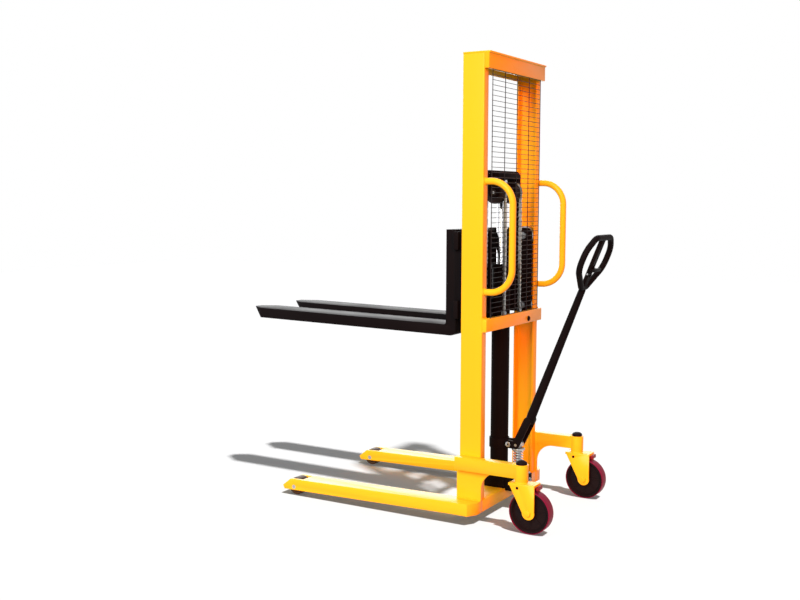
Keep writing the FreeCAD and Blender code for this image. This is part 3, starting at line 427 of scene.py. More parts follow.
@dataclass
class Workshop:
    """Shared tools: the frame, the materials and the ways to make and attach pieces; axis_x is in metres."""

    frame: dict
    materials: dict[Slot, bpy.types.Material] = field(default_factory=dict)
    axis_x: float = 0.0
    weld_gap: float = 0.002
    flat_angle: float = 0.5
    edge_angle: float = 40.0
    eased_crease: float = 35.0
    ease_steps: int = 2

    def prepare(self) -> None:
        """Builds the materials and finds the mast axis."""
        drift, dirt = surface_group(), low_dirt_group()
        for finish in FINISHES:
            self.materials[finish.slot] = finish.material(drift, dirt)
        self.axis_x = axis_span("cylinder_gland")[0].x

    def at(self, x: float, y: float, z: float) -> Vector:
        """Point given in millimetres from the mast axis on the floor."""
        return Vector((x * MM + self.axis_x, y * MM, z * MM))

    def dress_nodes(self) -> None:
        """Gives each carried node the finish of its slot."""
        for row in self.frame["record"]["subparts"]:
            node = self.frame["nodes"][row["node"]]
            node.data.materials.clear()
            node.data.materials.append(self.materials[Slot(row["material_slot"])])

    def attach(self, name: str, mesh: bpy.types.Mesh, slot: Slot, body: str, *nodes: str) -> None:
        """Turns a mesh into a piece that rides on a body.

        Args:
            name: the piece's name.
            mesh: its mesh, placed in the frame.
            slot: the material slot it takes.
            body: the body it moves with.
            nodes: carried nodes that it stands for.
        """
        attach(self.piece(name, mesh, slot, *nodes), body)
        LOG.info("%s rides on %s", name, body)

    def stretch(self, name: str, mesh: bpy.types.Mesh, slot: Slot, ends: tuple[str, str], node: str) -> None:
        """Turns a mesh into a piece fixed in the frame, with no body of its own, and logs the bodies at its
        ends.

        Args:
            name: the piece's name.
            mesh: its mesh, placed in the frame.
            slot: the material slot it takes.
            ends: the bodies at its bottom and its top.
            node: the carried node that it stands for.
        """
        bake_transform(self.piece(name, mesh, slot, node))
        LOG.info("%s stretches from %s to %s", name, *ends)

    def piece(self, name: str, mesh: bpy.types.Mesh, slot: Slot, *nodes: str) -> bpy.types.Object:
        """Makes the object of a piece.

        Args:
            name: the piece's name.
            mesh: its mesh, placed in the frame.
            slot: the material slot it takes.
            nodes: carried nodes that it stands for.
        Returns:
            The new object, with its finish.
        """
        mesh.materials.clear()
        mesh.materials.append(self.materials[slot])
        piece = new_object(name, mesh)
        if nodes:
            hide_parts(*nodes)
        return piece

    def softened(self, node: str, ease: Ease) -> bpy.types.Mesh:
        """Copies a carried node's mesh with its sharp edges eased.

        Args:
            node: the node to copy.
            ease: how wide its eased edges are.
        Returns:
            The new mesh.
        """
        work = bmesh.new()
        work.from_mesh(self.frame["nodes"][node].data)
        bmesh.ops.remove_doubles(work, verts=work.verts, dist=self.weld_gap * MM)
        bmesh.ops.dissolve_limit(work, angle_limit=math.radians(self.flat_angle), verts=work.verts,
                                 edges=work.edges)
        holder = new_object("soft_" + node, mesh_of(work, node, outward=False))
        bevel = holder.modifiers.new("ease", "BEVEL")
        bevel.limit_method = "ANGLE"
        bevel.angle_limit = math.radians(self.edge_angle)
        bevel.width = ease.value * MM
        bevel.segments = self.ease_steps
        return smooth(baked(holder), self.eased_crease)


def in_metres(outline: Outline) -> Outline:
    """Turns an outline in millimetres into metres."""
    return [(one * MM, two * MM) for one, two in outline]


def rounded(outer: float, half: float, radius: float) -> Outline:
    """Draws the quarter round from a wheel's side to its rim.

    Args:
        outer: the wheel's radius.
        half: its half width, negative for the side at -Y.
        radius: the round's own radius.
    Returns:
        The (radius, across) points, from the side to the rim.
    """
    inward = math.copysign(radius, half)
    turns = [math.pi / 2 * step / ROUND_STEPS for step in range(ROUND_STEPS + 1)]
    return [(outer - radius + radius * math.sin(turn), half - inward + inward * math.cos(turn))
            for turn in turns]


def mirrored(face: Outline) -> Outline:
    """Closes a wheel's half outline with its mirror image on the other side."""
    return face + [(radius, -across) for radius, across in reversed(face)]


def skin(work: bmesh.types.BMesh, one: list[bmesh.types.BMVert], two: list[bmesh.types.BMVert]) -> None:
    """Joins two equal closed loops of points with a band of faces.

    Args:
        work: the mesh that is worked on.
        one: the first loop.
        two: the second loop.
    """
    for i in range(len(one)):
        k = (i + 1) % len(one)
        work.faces.new((one[i], two[i], two[k], one[k]))


def lathe(profile: Outline, centre: Vector, steps: int = 72, upright: bool = False) -> bpy.types.Mesh:
    """Turns a closed (radius, across) outline round an axis along Y, or along Z.

    Args:
        profile: outline points in metres.
        centre: middle of the turned body.
        steps: facets round the axis.
        upright: whether the axis stands along Z.
    Returns:
        The closed mesh.
    """
    work = bmesh.new()
    rings = []
    for step in range(steps):
        turn = math.tau * step / steps
        ring = []
        for radius, across in profile:
            side, rise = radius * math.cos(turn), radius * math.sin(turn)
            place = (side, rise, across) if upright else (side, across, rise)
            ring.append(work.verts.new(centre + Vector(place)))
        rings.append(ring)
    for one, two in zip(rings, rings[1:] + rings[:1]):
        skin(work, one, two)
    return smooth(mesh_of(work, "lathe"))


def prism(outline: Outline, low: float, high: float) -> bpy.types.Mesh:
    """Extrudes a closed (x, z) outline along Y.

    Args:
        outline: corner points in metres.
        low: start along Y.
        high: end along Y.
    Returns:
        The closed mesh.
    """
    work = bmesh.new()
    one, two = ([work.verts.new((x, y, z)) for x, z in outline] for y in (low, high))
    work.faces.new(one)
    work.faces.new(two)
    skin(work, one, two)
    return mesh_of(work, "prism")


def merged(meshes: list[bpy.types.Mesh], name: str) -> bpy.types.Mesh:
    """Joins several meshes into one.

    Args:
        meshes: the meshes.
        name: the new mesh's name.
    Returns:
        The new mesh.
    """
    work = bmesh.new()
    for mesh in meshes:
        work.from_mesh(mesh)
    return smooth(mesh_of(work, name, outward=False))


def hex_bolt(head: float, rise: float, washer: float) -> bpy.types.Mesh:
    """Makes a hexagon head on a washer, standing along Z.

    Args:
        head: corner radius of the head.
        rise: height of the head.
        washer: radius of the washer.
    Returns:
        The closed mesh.
    """
    core, washer_facets, head_facets = 0.5 * MM, 24, 6
    thick, chamfer = washer * 0.14, rise * 0.18
    top = thick + rise
    disc = lathe([(core, 0.0), (washer * 0.94, 0.0), (washer, thick * 0.4), (washer * 0.96, thick),
                  (core, thick)], Vector(), washer_facets, True)
    nut = lathe([(core, thick * 0.5), (head, thick * 0.5), (head, top - chamfer), (head - chamfer, top),
                 (core, top)], Vector(), head_facets, True)
    return merged([disc, nut], "hex_bolt")


class NodeTool:
    """Small helper that builds one Geometry Nodes tree and bakes it to a mesh."""

    def __init__(self, name: str, inputs: dict[str, tuple[str, object]]) -> None:
        """Starts a tree with named inputs.

        Args:
            name: the tree's name.
            inputs: input name to (socket type, value).
        """
        self.tree = bpy.data.node_groups.new(name, "GeometryNodeTree")
        self.values: dict[str, object] = {}
        for key, (kind, value) in inputs.items():
            socket = self.tree.interface.new_socket(name=key, in_out="INPUT", socket_type=kind)
            self.values[socket.identifier] = value
        self.tree.interface.new_socket(name="Geometry", in_out="OUTPUT", socket_type="NodeSocketGeometry")
        self.given = self.add("NodeGroupInput").outputs
        self.sink = self.add("NodeGroupOutput")

    def add(self, kind: str, inputs: dict[str | int, object] | None = None,
            **settings: object) -> bpy.types.Node:
        """Adds a node with its inputs and properties."""
        return add_node(self.tree, kind, inputs, **settings)

    def tube(self, curve: bpy.types.NodeSocket, radius: bpy.types.NodeSocket,
             facets: int) -> bpy.types.NodeSocket:
        """Sweeps a circle along a curve and closes its ends.

        Args:
            curve: the socket with the curve.
            radius: the socket with the circle's radius.
            facets: facets round the tube.
        Returns:
            The socket with the tube.
        """
        circle = self.add("GeometryNodeCurvePrimitiveCircle", {"Resolution": facets, "Radius": radius})
        return self.add("GeometryNodeCurveToMesh", {"Curve": curve, "Profile Curve": circle.outputs[0],
                                                    "Fill Caps": True}).outputs[0]

    def close(self, geometry: bpy.types.NodeSocket, material: bpy.types.Material) -> bpy.types.Mesh:
        """Ends the tree, runs it and returns the plain mesh.

        Args:
            geometry: the socket with the instances.
            material: the material of the result.
        Returns:
            The baked mesh.
        """
        realize = self.add("GeometryNodeRealizeInstances", {0: geometry})
        paint = self.add("GeometryNodeSetMaterial", {"Geometry": realize.outputs[0], "Material": material})
        feed(self.tree, self.sink, {0: paint.outputs[0]})
        holder = new_object(self.tree.name, bpy.data.meshes.new(self.tree.name))
        modifier = holder.modifiers.new("nodes", "NODES")
        modifier.node_group = self.tree
        for key, value in self.values.items():
            modifier[key] = value
        return baked(holder)


@dataclass
class Repeater:
    """Sets one shape out on many points, each turned to its own direction."""

    shop: Workshop
    seed: int = 7

    def set_out(self, name: str, shape: bpy.types.Mesh, places: Places, slot: Slot,
                pivot: Pivot = Pivot.FREE, spread: float = 0.0) -> bpy.types.Mesh:
        """Repeats a shape whose own Z axis follows each place's direction.

        Args:
            name: name of the tree and the mesh.
            shape: the mesh to repeat.
            places: point and direction of each copy.
            slot: the material slot of the copies.
            pivot: axis that the turn keeps.
            spread: share by which sizes differ.
        Returns:
            The mesh of all the copies.
        """
        seat = bpy.data.meshes.new(name + "_points")
        seat.from_pydata([tuple(point) for point, _ in places], [], [])
        aim = seat.attributes.new("aim", "FLOAT_VECTOR", "POINT")
        aim.data.foreach_set("vector", [value for _, way in places for value in way])
        points, sample = new_object(name + "_points", seat), new_object(name + "_shape", shape)
        tool = NodeTool(name, {"Points": (OBJECT, points), "Shape": (OBJECT, sample),
                               "Least": (FLOAT, 1.0 - spread), "Most": (FLOAT, 1.0)})
        at = tool.add("GeometryNodeObjectInfo", {"Object": tool.given["Points"]})
        what = tool.add("GeometryNodeObjectInfo", {"Object": tool.given["Shape"]})
        way = tool.add("GeometryNodeInputNamedAttribute", {"Name": "aim"}, data_type="FLOAT_VECTOR")
        turn = tool.add("FunctionNodeAlignRotationToVector", {"Vector": way.outputs["Attribute"]},
                        axis="Z", pivot_axis=pivot.value)
        size = tool.add("FunctionNodeRandomValue", {"Min": tool.given["Least"], "Max": tool.given["Most"],
                                                    "Seed": self.seed}, data_type="FLOAT")
        place = tool.add("GeometryNodeInstanceOnPoints", {
            "Points": at.outputs["Geometry"], "Instance": what.outputs["Geometry"],
            "Rotation": turn.outputs["Rotation"], "Scale": size.outputs["Value"]})
        mesh = tool.close(place.outputs[0], self.shop.materials[slot])
        for item in (points, sample):
            bpy.data.objects.remove(item)
        return mesh

    def attach(self, name: str, shape: bpy.types.Mesh, places: Places, slot: Slot, body: str, *nodes: str,
               spread: float = 0.0) -> None:
        """Sets a shape out and attaches the copies to a body as one piece.

        Args:
            name: the piece's name.
            shape: the mesh to repeat.
            places: point and direction of each copy.
            slot: the material slot of the copies.
            body: the body they ride on.
            nodes: carried nodes that they stand for.
            spread: share by which sizes differ.
        """
        mesh = self.set_out(name, shape, places, slot, spread=spread)
        self.shop.attach(name, merged([mesh], name), slot, body, *nodes)


@dataclass
class Edges:
    """Easing of the sharp edges on the welded and forged pieces."""

    shop: Workshop
    middle: tuple[tuple[Ease, tuple[str, ...]], ...] = (
        (Ease.PLATE, ("top_crossbeam", "middle_crossbeam", "base_crossbeam")),
        (Ease.FORGED, ("upper_fork_bar", "lower_fork_bar", "pump_block")),
        (Ease.PLATE, ("crosshead", "guard_hoop", "chain_tie")),
        (Ease.FINE, ("cylinder_clamp", "tiller_bracket", "lift_cylinder", "cylinder_gland", "ram_rod",
                     "tiller_bar", "tiller_loop", "release_lever", "press_roller", "swivel_caps",
                     "pump_plunger")))
    paired: tuple[tuple[Ease, tuple[str, ...]], ...] = (
        (Ease.FORGED, ("fork",)),
        (Ease.PLATE, ("side_plate", "base_leg", "rear_arm", "castor_fork", "brake_pedal")),
        (Ease.FINE, ("upright", "grab_handle", "chain_wheel", "castor_bolts")))

    def build(self) -> None:
        """Replaces each plain solid with an eased copy on the same body."""
        record = self.shop.frame["record"]
        body_of = {node: body for body, nodes in record["behaviour"]["bodies"].items() for node in nodes}
        slot_of = {row["node"]: Slot(row["material_slot"]) for row in record["subparts"]}
        eases = [(node, ease) for ease, nodes in self.middle for node in nodes]
        for side in Side:
            slot_of[side.own("chain_wheel")] = Slot.WIRE
            eases += [(side.own(node), ease) for ease, nodes in self.paired for node in nodes]
        for node, ease in eases:
            mesh = self.shop.softened(node, ease)
            self.shop.attach(node + "_eased", mesh, slot_of[node], body_of[node], node)


@dataclass
class Guard:
    """Welded wire guard between the mast's beams."""

    shop: Workshop
    uprights: int = 5
    rungs: int = 50
    wire: float = 3.4
    rung_wire: float = 2.4
    facets: int = 10

    def wires(self, count: int, start: Vector, step: Vector, run: Vector, radius: float) -> bpy.types.Mesh:
        """Makes a row of equal straight wires.

        Args:
            count: number of wires.
            start: end point of the first wire.
            step: offset from one wire to the next.
            run: direction and length of each wire.
            radius: half the wire's thickness.
        Returns:
            The mesh of all the wires.
        """
        tool = NodeTool("guard_wires", {
            "Count": ("NodeSocketInt", count), "Start": (VECTOR, tuple(start)), "Step": (VECTOR, tuple(step)),
            "Run": (VECTOR, tuple(run)), "Radius": (FLOAT, radius)})
        row = tool.add("GeometryNodeMeshLine", {"Count": tool.given["Count"], "Offset": tool.given["Step"],
                                                "Start Location": tool.given["Start"]}, mode="OFFSET")
        line = tool.add("GeometryNodeCurvePrimitiveLine", {"End": tool.given["Run"]})
        tube = tool.tube(line.outputs[0], tool.given["Radius"], self.facets)
        place = tool.add("GeometryNodeInstanceOnPoints", {"Points": row.outputs[0], "Instance": tube})
        return tool.close(place.outputs[0], self.shop.materials[Slot.WIRE])

    def build(self) -> None:
        """Replaces the holed sheet with crossed round wires."""
        low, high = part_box("guard_mesh")
        thick, thin = self.wire * MM / 2, self.rung_wire * MM / 2
        span_y, span_z = high.y - low.y, high.z - low.z
        tall = self.wires(self.uprights, Vector((low.x + thick, low.y + thick, low.z)),
                          Vector((0, (span_y - 2 * thick) / (self.uprights - 1), 0)),
                          Vector((0, 0, span_z)), thick)
        wide = self.wires(self.rungs, Vector((high.x - thin, low.y, low.z + thin)),
                          Vector((0, 0, (span_z - 2 * thin) / (self.rungs - 1))),
                          Vector((0, span_y, 0)), thin)
        self.shop.attach("wire_guard", merged([tall, wide], "wire_guard"), Slot.WIRE, "chassis", "guard_mesh")


@dataclass
class LiftChains:
    """Leaf chains: fixed runs, half turns over the wheels and moving runs."""

    shop: Workshop
    pitch: float = 19.05
    plate: float = 2.7
    plate_gap: float = 0.15
    depth: float = 6.4
    waist: float = 4.7
    pin: float = 3.1
    pin_stand: float = 1.6
    pin_facets: int = 8
    end_steps: int = 5
    wheel: Point = (-7.0, 79.0, 1403.0)
    pitch_radius: float = 45.0
    wrap_links: int = 8
    end_gap: float = 7.0

    def link(self, length: float, outer: bool) -> bpy.types.Mesh:
        """Makes one waisted link hanging from its upper pin along -Z.

        Args:
            length: distance between the pins in millimetres.
            outer: whether the plates sit outside.
        Returns:
            The mesh of two plates and one pin.
        """
        outline = []
        for centre, start, waist in ((0.0, 0.0, -self.waist), (-length, math.pi, self.waist)):
            for step in range(self.end_steps + 1):
                turn = start + math.pi * step / self.end_steps
                outline.append((self.depth * math.cos(turn), centre + self.depth * math.sin(turn)))
            outline.append((waist, -length / 2))
        inner = self.plate if outer else self.plate_gap
        parts = [prism(in_metres(outline), sign * inner * MM, sign * (inner + self.plate) * MM)
                 for sign in SIGNS]
        reach = (2 * self.plate + self.pin_stand) * MM
        turns = [math.tau * step / self.pin_facets for step in range(self.pin_facets)]
        pin = [(self.pin * math.cos(turn), self.pin * math.sin(turn)) for turn in turns]
        return merged([*parts, prism(in_metres(pin), -reach, reach)], "link")

    def run(self, name: str, places: Places, length: float) -> bpy.types.Mesh:
        """Sets wide and narrow links out in turn.

        Args:
            name: name of the run.
            places: upper pin and direction of each link, in order.
            length: distance between the pins in millimetres.
        Returns:
            The mesh of the run.
        """
        repeat = Repeater(self.shop)
        wide = repeat.set_out(name + "_wide", self.link(length, True), places[0::2], Slot.CHAIN,
                              Pivot.ACROSS)
        narrow = repeat.set_out(name + "_narrow", self.link(length, False), places[1::2], Slot.CHAIN,
                                Pivot.ACROSS)
        return merged([wide, narrow], name)

    def straight(self, name: str, x: float, low: float) -> bpy.types.Mesh:
        """Makes both sides' straight runs.

        Args:
            name: name of the runs.
            x: their distance from the mast axis in millimetres.
            low: height of their lower end in millimetres.
        Returns:
            The mesh of both runs.
        """
        top, end = self.wheel[2] - self.end_gap, low + self.end_gap
        count = 2 * round((top - end) / self.pitch / 2)
        step = (top - end) / count
        places = [(self.shop.at(*side.point(x, self.wheel[1], top - step * index)), Vector(UP))
                  for side in Side for index in range(count)]
        return self.run(name, places, step)

    def half_turns(self) -> bpy.types.Mesh:
        """Makes the half turns of chain over both wheels.

        Returns:
            The mesh of both half turns.
        """
        chord = math.pi / self.wrap_links
        turns = [math.pi - chord * index for index in range(self.wrap_links + 1)]
        pins = [Vector((math.cos(turn), 0, math.sin(turn))) * self.pitch_radius for turn in turns]
        places = []
        for side in Side:
            hub = Vector(side.point(*self.wheel))
            for here, there in zip(pins, pins[1:]):
                places.append((self.shop.at(*(hub + here)), (here - there).normalized()))
        return self.run("chain_turns", places, 2 * self.pitch_radius * math.sin(chord / 2))

    def build(self) -> None:
        """Replaces the carried chain solids."""
        for name, node, x, body in (
                ("fixed_chains", "chain_fixed_runs", self.wheel[0] - self.pitch_radius, "chassis"),
                ("moving_chains", "chain_moving_runs", self.wheel[0] + self.pitch_radius, "carriage")):
            mesh = self.straight(name, x, axis_span(node)[0].z / MM)
            self.shop.stretch(name, mesh, Slot.CHAIN, (body, "ram"), node)
        self.shop.attach("chain_turns", self.half_turns(), Slot.CHAIN, "ram", "chain_wraps")


@dataclass
class PumpSpring:
    """Return spring round the pump plunger."""

    shop: Workshop
    wire: float = 2.5
    turns: float = 5.0
    axis_x: float = -94.0
    turn_steps: int = 28
    facets: int = 12

    def build(self) -> None:
        """Replaces the carried spring with a smooth coil round the plunger."""
        low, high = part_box("pump_spring")
        wire = self.wire * MM
        foot = self.shop.at(self.axis_x, 0, low.z / MM + self.wire)
        tool = NodeTool("pump_coil", {
            "Radius": (FLOAT, (high.y - low.y) / 2 - wire), "Height": (FLOAT, high.z - low.z - 2 * wire),
            "Turns": (FLOAT, self.turns), "Wire": (FLOAT, wire), "Foot": (VECTOR, tuple(foot))})
        coil = tool.add("GeometryNodeCurveSpiral", {
            "Resolution": self.turn_steps, "Rotations": tool.given["Turns"], "Height": tool.given["Height"],
            "Start Radius": tool.given["Radius"], "End Radius": tool.given["Radius"]})
        tube = tool.tube(coil.outputs[0], tool.given["Wire"], self.facets)
        move = tool.add("GeometryNodeTransform", {"Geometry": tube, "Translation": tool.given["Foot"]})
        mesh = merged([tool.close(move.outputs[0], self.shop.materials[Slot.STEEL])], "pump_coil")
        self.shop.stretch("pump_coil", mesh, Slot.STEEL, ("chassis", "plunger"), "pump_spring")


@dataclass
class CastorWheel:
    """Detailed castor wheel: crowned tread and a dished wheel body with ribs."""

    shop: Workshop
    side: Side
    tread_inner: float = 86.5
    tread_dish: float = 1.0
    shoulder: float = 3.0
    bore: float = 8.1
    boss: float = 20.5
    boss_half: float = 26.0
    boss_foot: float = 13.0
    web: float = 7.0
    rim_depth: float = 10.5
    lip_inset: float = 4.0
    lip_edge: float = 1.0
    draft: float = 2.0
    chamfer: float = 2.0
    boss_fillet: float = 4.0
    rim_fillet: float = 6.0
    ribs: int = 8
    rib_half: float = 3.0
    rib_rise: float = 11.0
    rib_fall: float = 0.75
    rib_lap: float = 1.0
    rib_sink: float = 2.0
    tread_facets: int = 96

    def build(self) -> None:
        """Replaces the turned wheel body and tread of one side."""
        centre, outer, half = wheel_size(self.side.own("castor_tread"))
        tread = [(self.tread_inner * MM, self.tread_dish * MM - half),
                 *rounded(outer, -half, self.shoulder * MM)]
        wheel = self.side.own("wheel")
        self.shop.attach(self.side.own("tread"), lathe(mirrored(tread), centre, self.tread_facets),
                         Slot.TREAD, wheel, self.side.own("castor_tread"))
        rim = self.tread_inner - self.rim_depth
        face = lathe(mirrored(in_metres(self.face(rim, half / MM - self.lip_inset))), centre)
        body = merged([face, self.rib_ring(centre, rim)], "wheel_body")
        self.shop.attach(self.side.own("wheel_body"), body, Slot.PLASTIC, wheel, self.side.own("castor_hub"))

    def face(self, rim: float, lip: float) -> Outline:
        """Draws one face of the wheel body, from the bore over boss, web and rim to the tread.

        Args:
            rim: inner radius of the rim in millimetres.
            lip: half width of the rim in millimetres.
        Returns:
            The (radius, across) points in millimetres.
        """
        boss, top, web, inner = self.boss, self.boss_half, self.web, self.tread_inner
        lip_start = rim + self.draft
        return [(self.bore, top), (boss - self.chamfer, top), (boss, top - self.chamfer),
                (boss, self.boss_foot), (boss + self.boss_fillet, web), (rim - self.rim_fillet, web),
                (rim, web + self.rim_fillet), (lip_start, lip - self.lip_edge),
                (lip_start + self.lip_edge, lip), (inner - self.chamfer, lip), (inner, lip - self.chamfer)]

    def rib(self, rim: float) -> list[bpy.types.Mesh]:
        """Makes a rib on each face of the wheel body, standing along Z from boss to rim.

        Args:
            rim: inner radius of the rim in millimetres.
        Returns:
            The two ribs' meshes.
        """
        sink = self.web - self.rib_sink
        inner, outer = self.boss - self.rib_lap, rim + self.rib_lap
        ribs = []
        for sign in SIGNS:
            work = bmesh.new()
            loops = []
            for radius, rise in ((inner, self.rib_rise), (outer, self.rib_rise * self.rib_fall)):
                corners = ((-self.rib_half, sink), (self.rib_half, sink), (self.rib_half, rise),
                           (-self.rib_half, rise))
                loops.append([work.verts.new(Vector((across, sign * level, radius)) * MM)
                              for across, level in corners])
            for loop in loops:
                work.faces.new(loop)
            skin(work, *loops)
            ribs.append(mesh_of(work, "rib"))
        return ribs

    def rib_ring(self, centre: Vector, rim: float) -> bpy.types.Mesh:
        """Sets the radial ribs out round both faces of the wheel body.

        Args:
            centre: wheel centre.
            rim: inner radius of the rim in millimetres.
        Returns:
            The mesh of all the ribs.
        """
        turns = [math.tau * index / self.ribs for index in range(self.ribs)]
        places = [(centre, Vector((math.cos(turn), 0, -math.sin(turn)))) for turn in turns]
        return Repeater(self.shop).set_out(self.side.own("ribs"), merged(self.rib(rim), "rib"), places,
                                           Slot.PLASTIC, Pivot.ACROSS)


@dataclass
class LoadRollers:
    """Crowned load rollers with recessed bearing faces in the leg ends."""

    shop: Workshop
    edge: float = 5.0
    bore: float = 10.3
    bearing: float = 8.0
    bearing_inset: float = 1.0
    bearing_wall: float = 0.5
    groove: float = 15.0
    groove_depth: float = 4.0
    groove_slope: float = 1.5

    def build(self) -> None:
        """Replaces both carried rollers."""
        for side in Side:
            roller = side.own("load_roller")
            centre, outer, half = wheel_size(roller)
            flush = half / MM
            near, deep = flush - self.bearing_inset, flush - self.groove_depth
            bearing, groove = self.bore + self.bearing, self.bore + self.groove
            face = in_metres([(self.bore, near), (bearing, near), (bearing + self.bearing_wall, deep),
                              (groove, deep), (groove + self.groove_slope, flush)])
            profile = mirrored(face + rounded(outer, half, self.edge * MM))
            self.shop.attach(side.own("roller_barrel"), lathe(profile, centre), Slot.ROLLER, roller, roller)


@dataclass
class Welds:
    """Scalloped weld beads where the frame and the carriage are joined, in millimetres from the mast axis."""

    shop: Workshop
    step: float = 4.2
    bead: float = 4.0
    flatness: float = 0.85
    spread: float = 0.18
    handle: tuple[float, float] = (-51.0, 271.0)
    handle_radius: float = 15.0
    handle_heights: tuple[float, ...] = (985.0, 1448.0)
    swivel: Point = (-250.0, 311.0, 282.0)
    swivel_radius: float = 29.5
    swivel_reach: float = 46.0
    cylinder_foot: Point = (0.0, 0.0, 151.5)
    cylinder_radius: float = 41.0
    frame_seams: tuple[tuple[Point, Point], ...] = (
        ((-51.0, 250.0, 95.0), (-51.0, 279.0, 95.0)), ((51.0, 250.0, 95.0), (51.0, 279.0, 95.0)),
        ((-55.0, 300.0, 95.5), (55.0, 300.0, 95.5)),
        ((-51.0, 251.0, 873.0), (-51.0, 287.0, 873.0)), ((-51.0, 251.0, 816.0), (-51.0, 287.0, 816.0)))
    carriage_seams: tuple[tuple[Point, Point], ...] = (
        ((79.0, 229.5, 865.0), (79.0, 229.5, 939.0)), ((79.0, 229.5, 1160.0), (79.0, 229.5, 1234.0)))

    def drop(self) -> bpy.types.Mesh:
        """Makes one flattened drop of weld metal, its ripple across Z.

        Returns:
            The drop's mesh.
        """
        work = bmesh.new()
        bmesh.ops.create_icosphere(work, subdivisions=1, radius=self.bead * MM)
        bmesh.ops.scale(work, vec=Vector((1.0, 1.0, self.flatness)), verts=work.verts)
        return mesh_of(work, "weld_drop", outward=False)

    def seams(self, rows: tuple[tuple[Point, Point], ...], side: Side) -> Places:
        """Lists the drops of straight seams.

        Args:
            rows: start and end of each seam on the left.
            side: the side they are wanted for.
        Returns:
            The drops' places.
        """
        drops = []
        for ends in rows:
            one, two = (Vector(side.point(*end)) for end in ends)
            count = max(2, round((two - one).length / self.step))
            way = (two - one).normalized()
            drops += [(self.shop.at(*one.lerp(two, i / count)), way) for i in range(count + 1)]
        return drops

    def ring(self, centre: Point, radius: float, upright: bool, reach: float = 180.0) -> Places:
        """Lists the drops of a round seam about X, or about Z.

        Args:
            centre: middle of the seam.
            radius: its radius.
            upright: whether its axis stands along Z.
            reach: how far it goes to both sides of its start, in degrees.
        Returns:
            The drops' places.
        """
        count = round(math.radians(reach) * 2 * radius / self.step)
        drops = []
        for index in range(count):
            turn = math.radians(reach) * (2 * index / count - 1)
            side, rise = radius * math.cos(turn), radius * math.sin(turn)
            shift = Vector((side, rise, 0)) if upright else Vector((0, side, rise))
            way = Vector((-rise, side, 0)) if upright else Vector((0, -rise, side))
            drops.append((self.shop.at(*(Vector(centre) + shift)), way.normalized()))
        return drops

    def build(self) -> None:
        """Makes the seams of the yellow frame and the black carriage."""
        frame, carriage = [], []
        for side in Side:
            for z in self.handle_heights:
                frame += self.ring(side.point(*self.handle, z), self.handle_radius, False)
            frame += self.seams(self.frame_seams, side)
            frame += self.ring(side.point(*self.swivel), self.swivel_radius, True, self.swivel_reach)
            carriage += self.seams(self.carriage_seams, side)
        foot = self.ring(self.cylinder_foot, self.cylinder_radius, True)
        for name, drops, slot, body in (("frame_welds", frame, Slot.YELLOW, "chassis"),
                                        ("cylinder_weld", foot, Slot.BLACK, "chassis"),
                                        ("carriage_welds", carriage, Slot.BLACK, "carriage")):
            Repeater(self.shop).attach(name, self.drop(), drops, slot, body, spread=self.spread)


@dataclass(frozen=True)
class BoltSet:
    """Equal bolts: head radius, head height and washer radius, and their seats in millimetres."""

    name: str
    size: BoltSize
    body: str
    slot: Slot
    way: Point
    seats: tuple[Point, ...]
    nodes: tuple[str, ...] = ()


@dataclass(frozen=True)
class RingSet:
    """Equal turned rings: their (radius, across) outline and their centres in millimetres."""

    name: str
    body: str
    slot: Slot
    outline: tuple[tuple[float, float], ...]
    centres: tuple[Point, ...]
    upright: bool


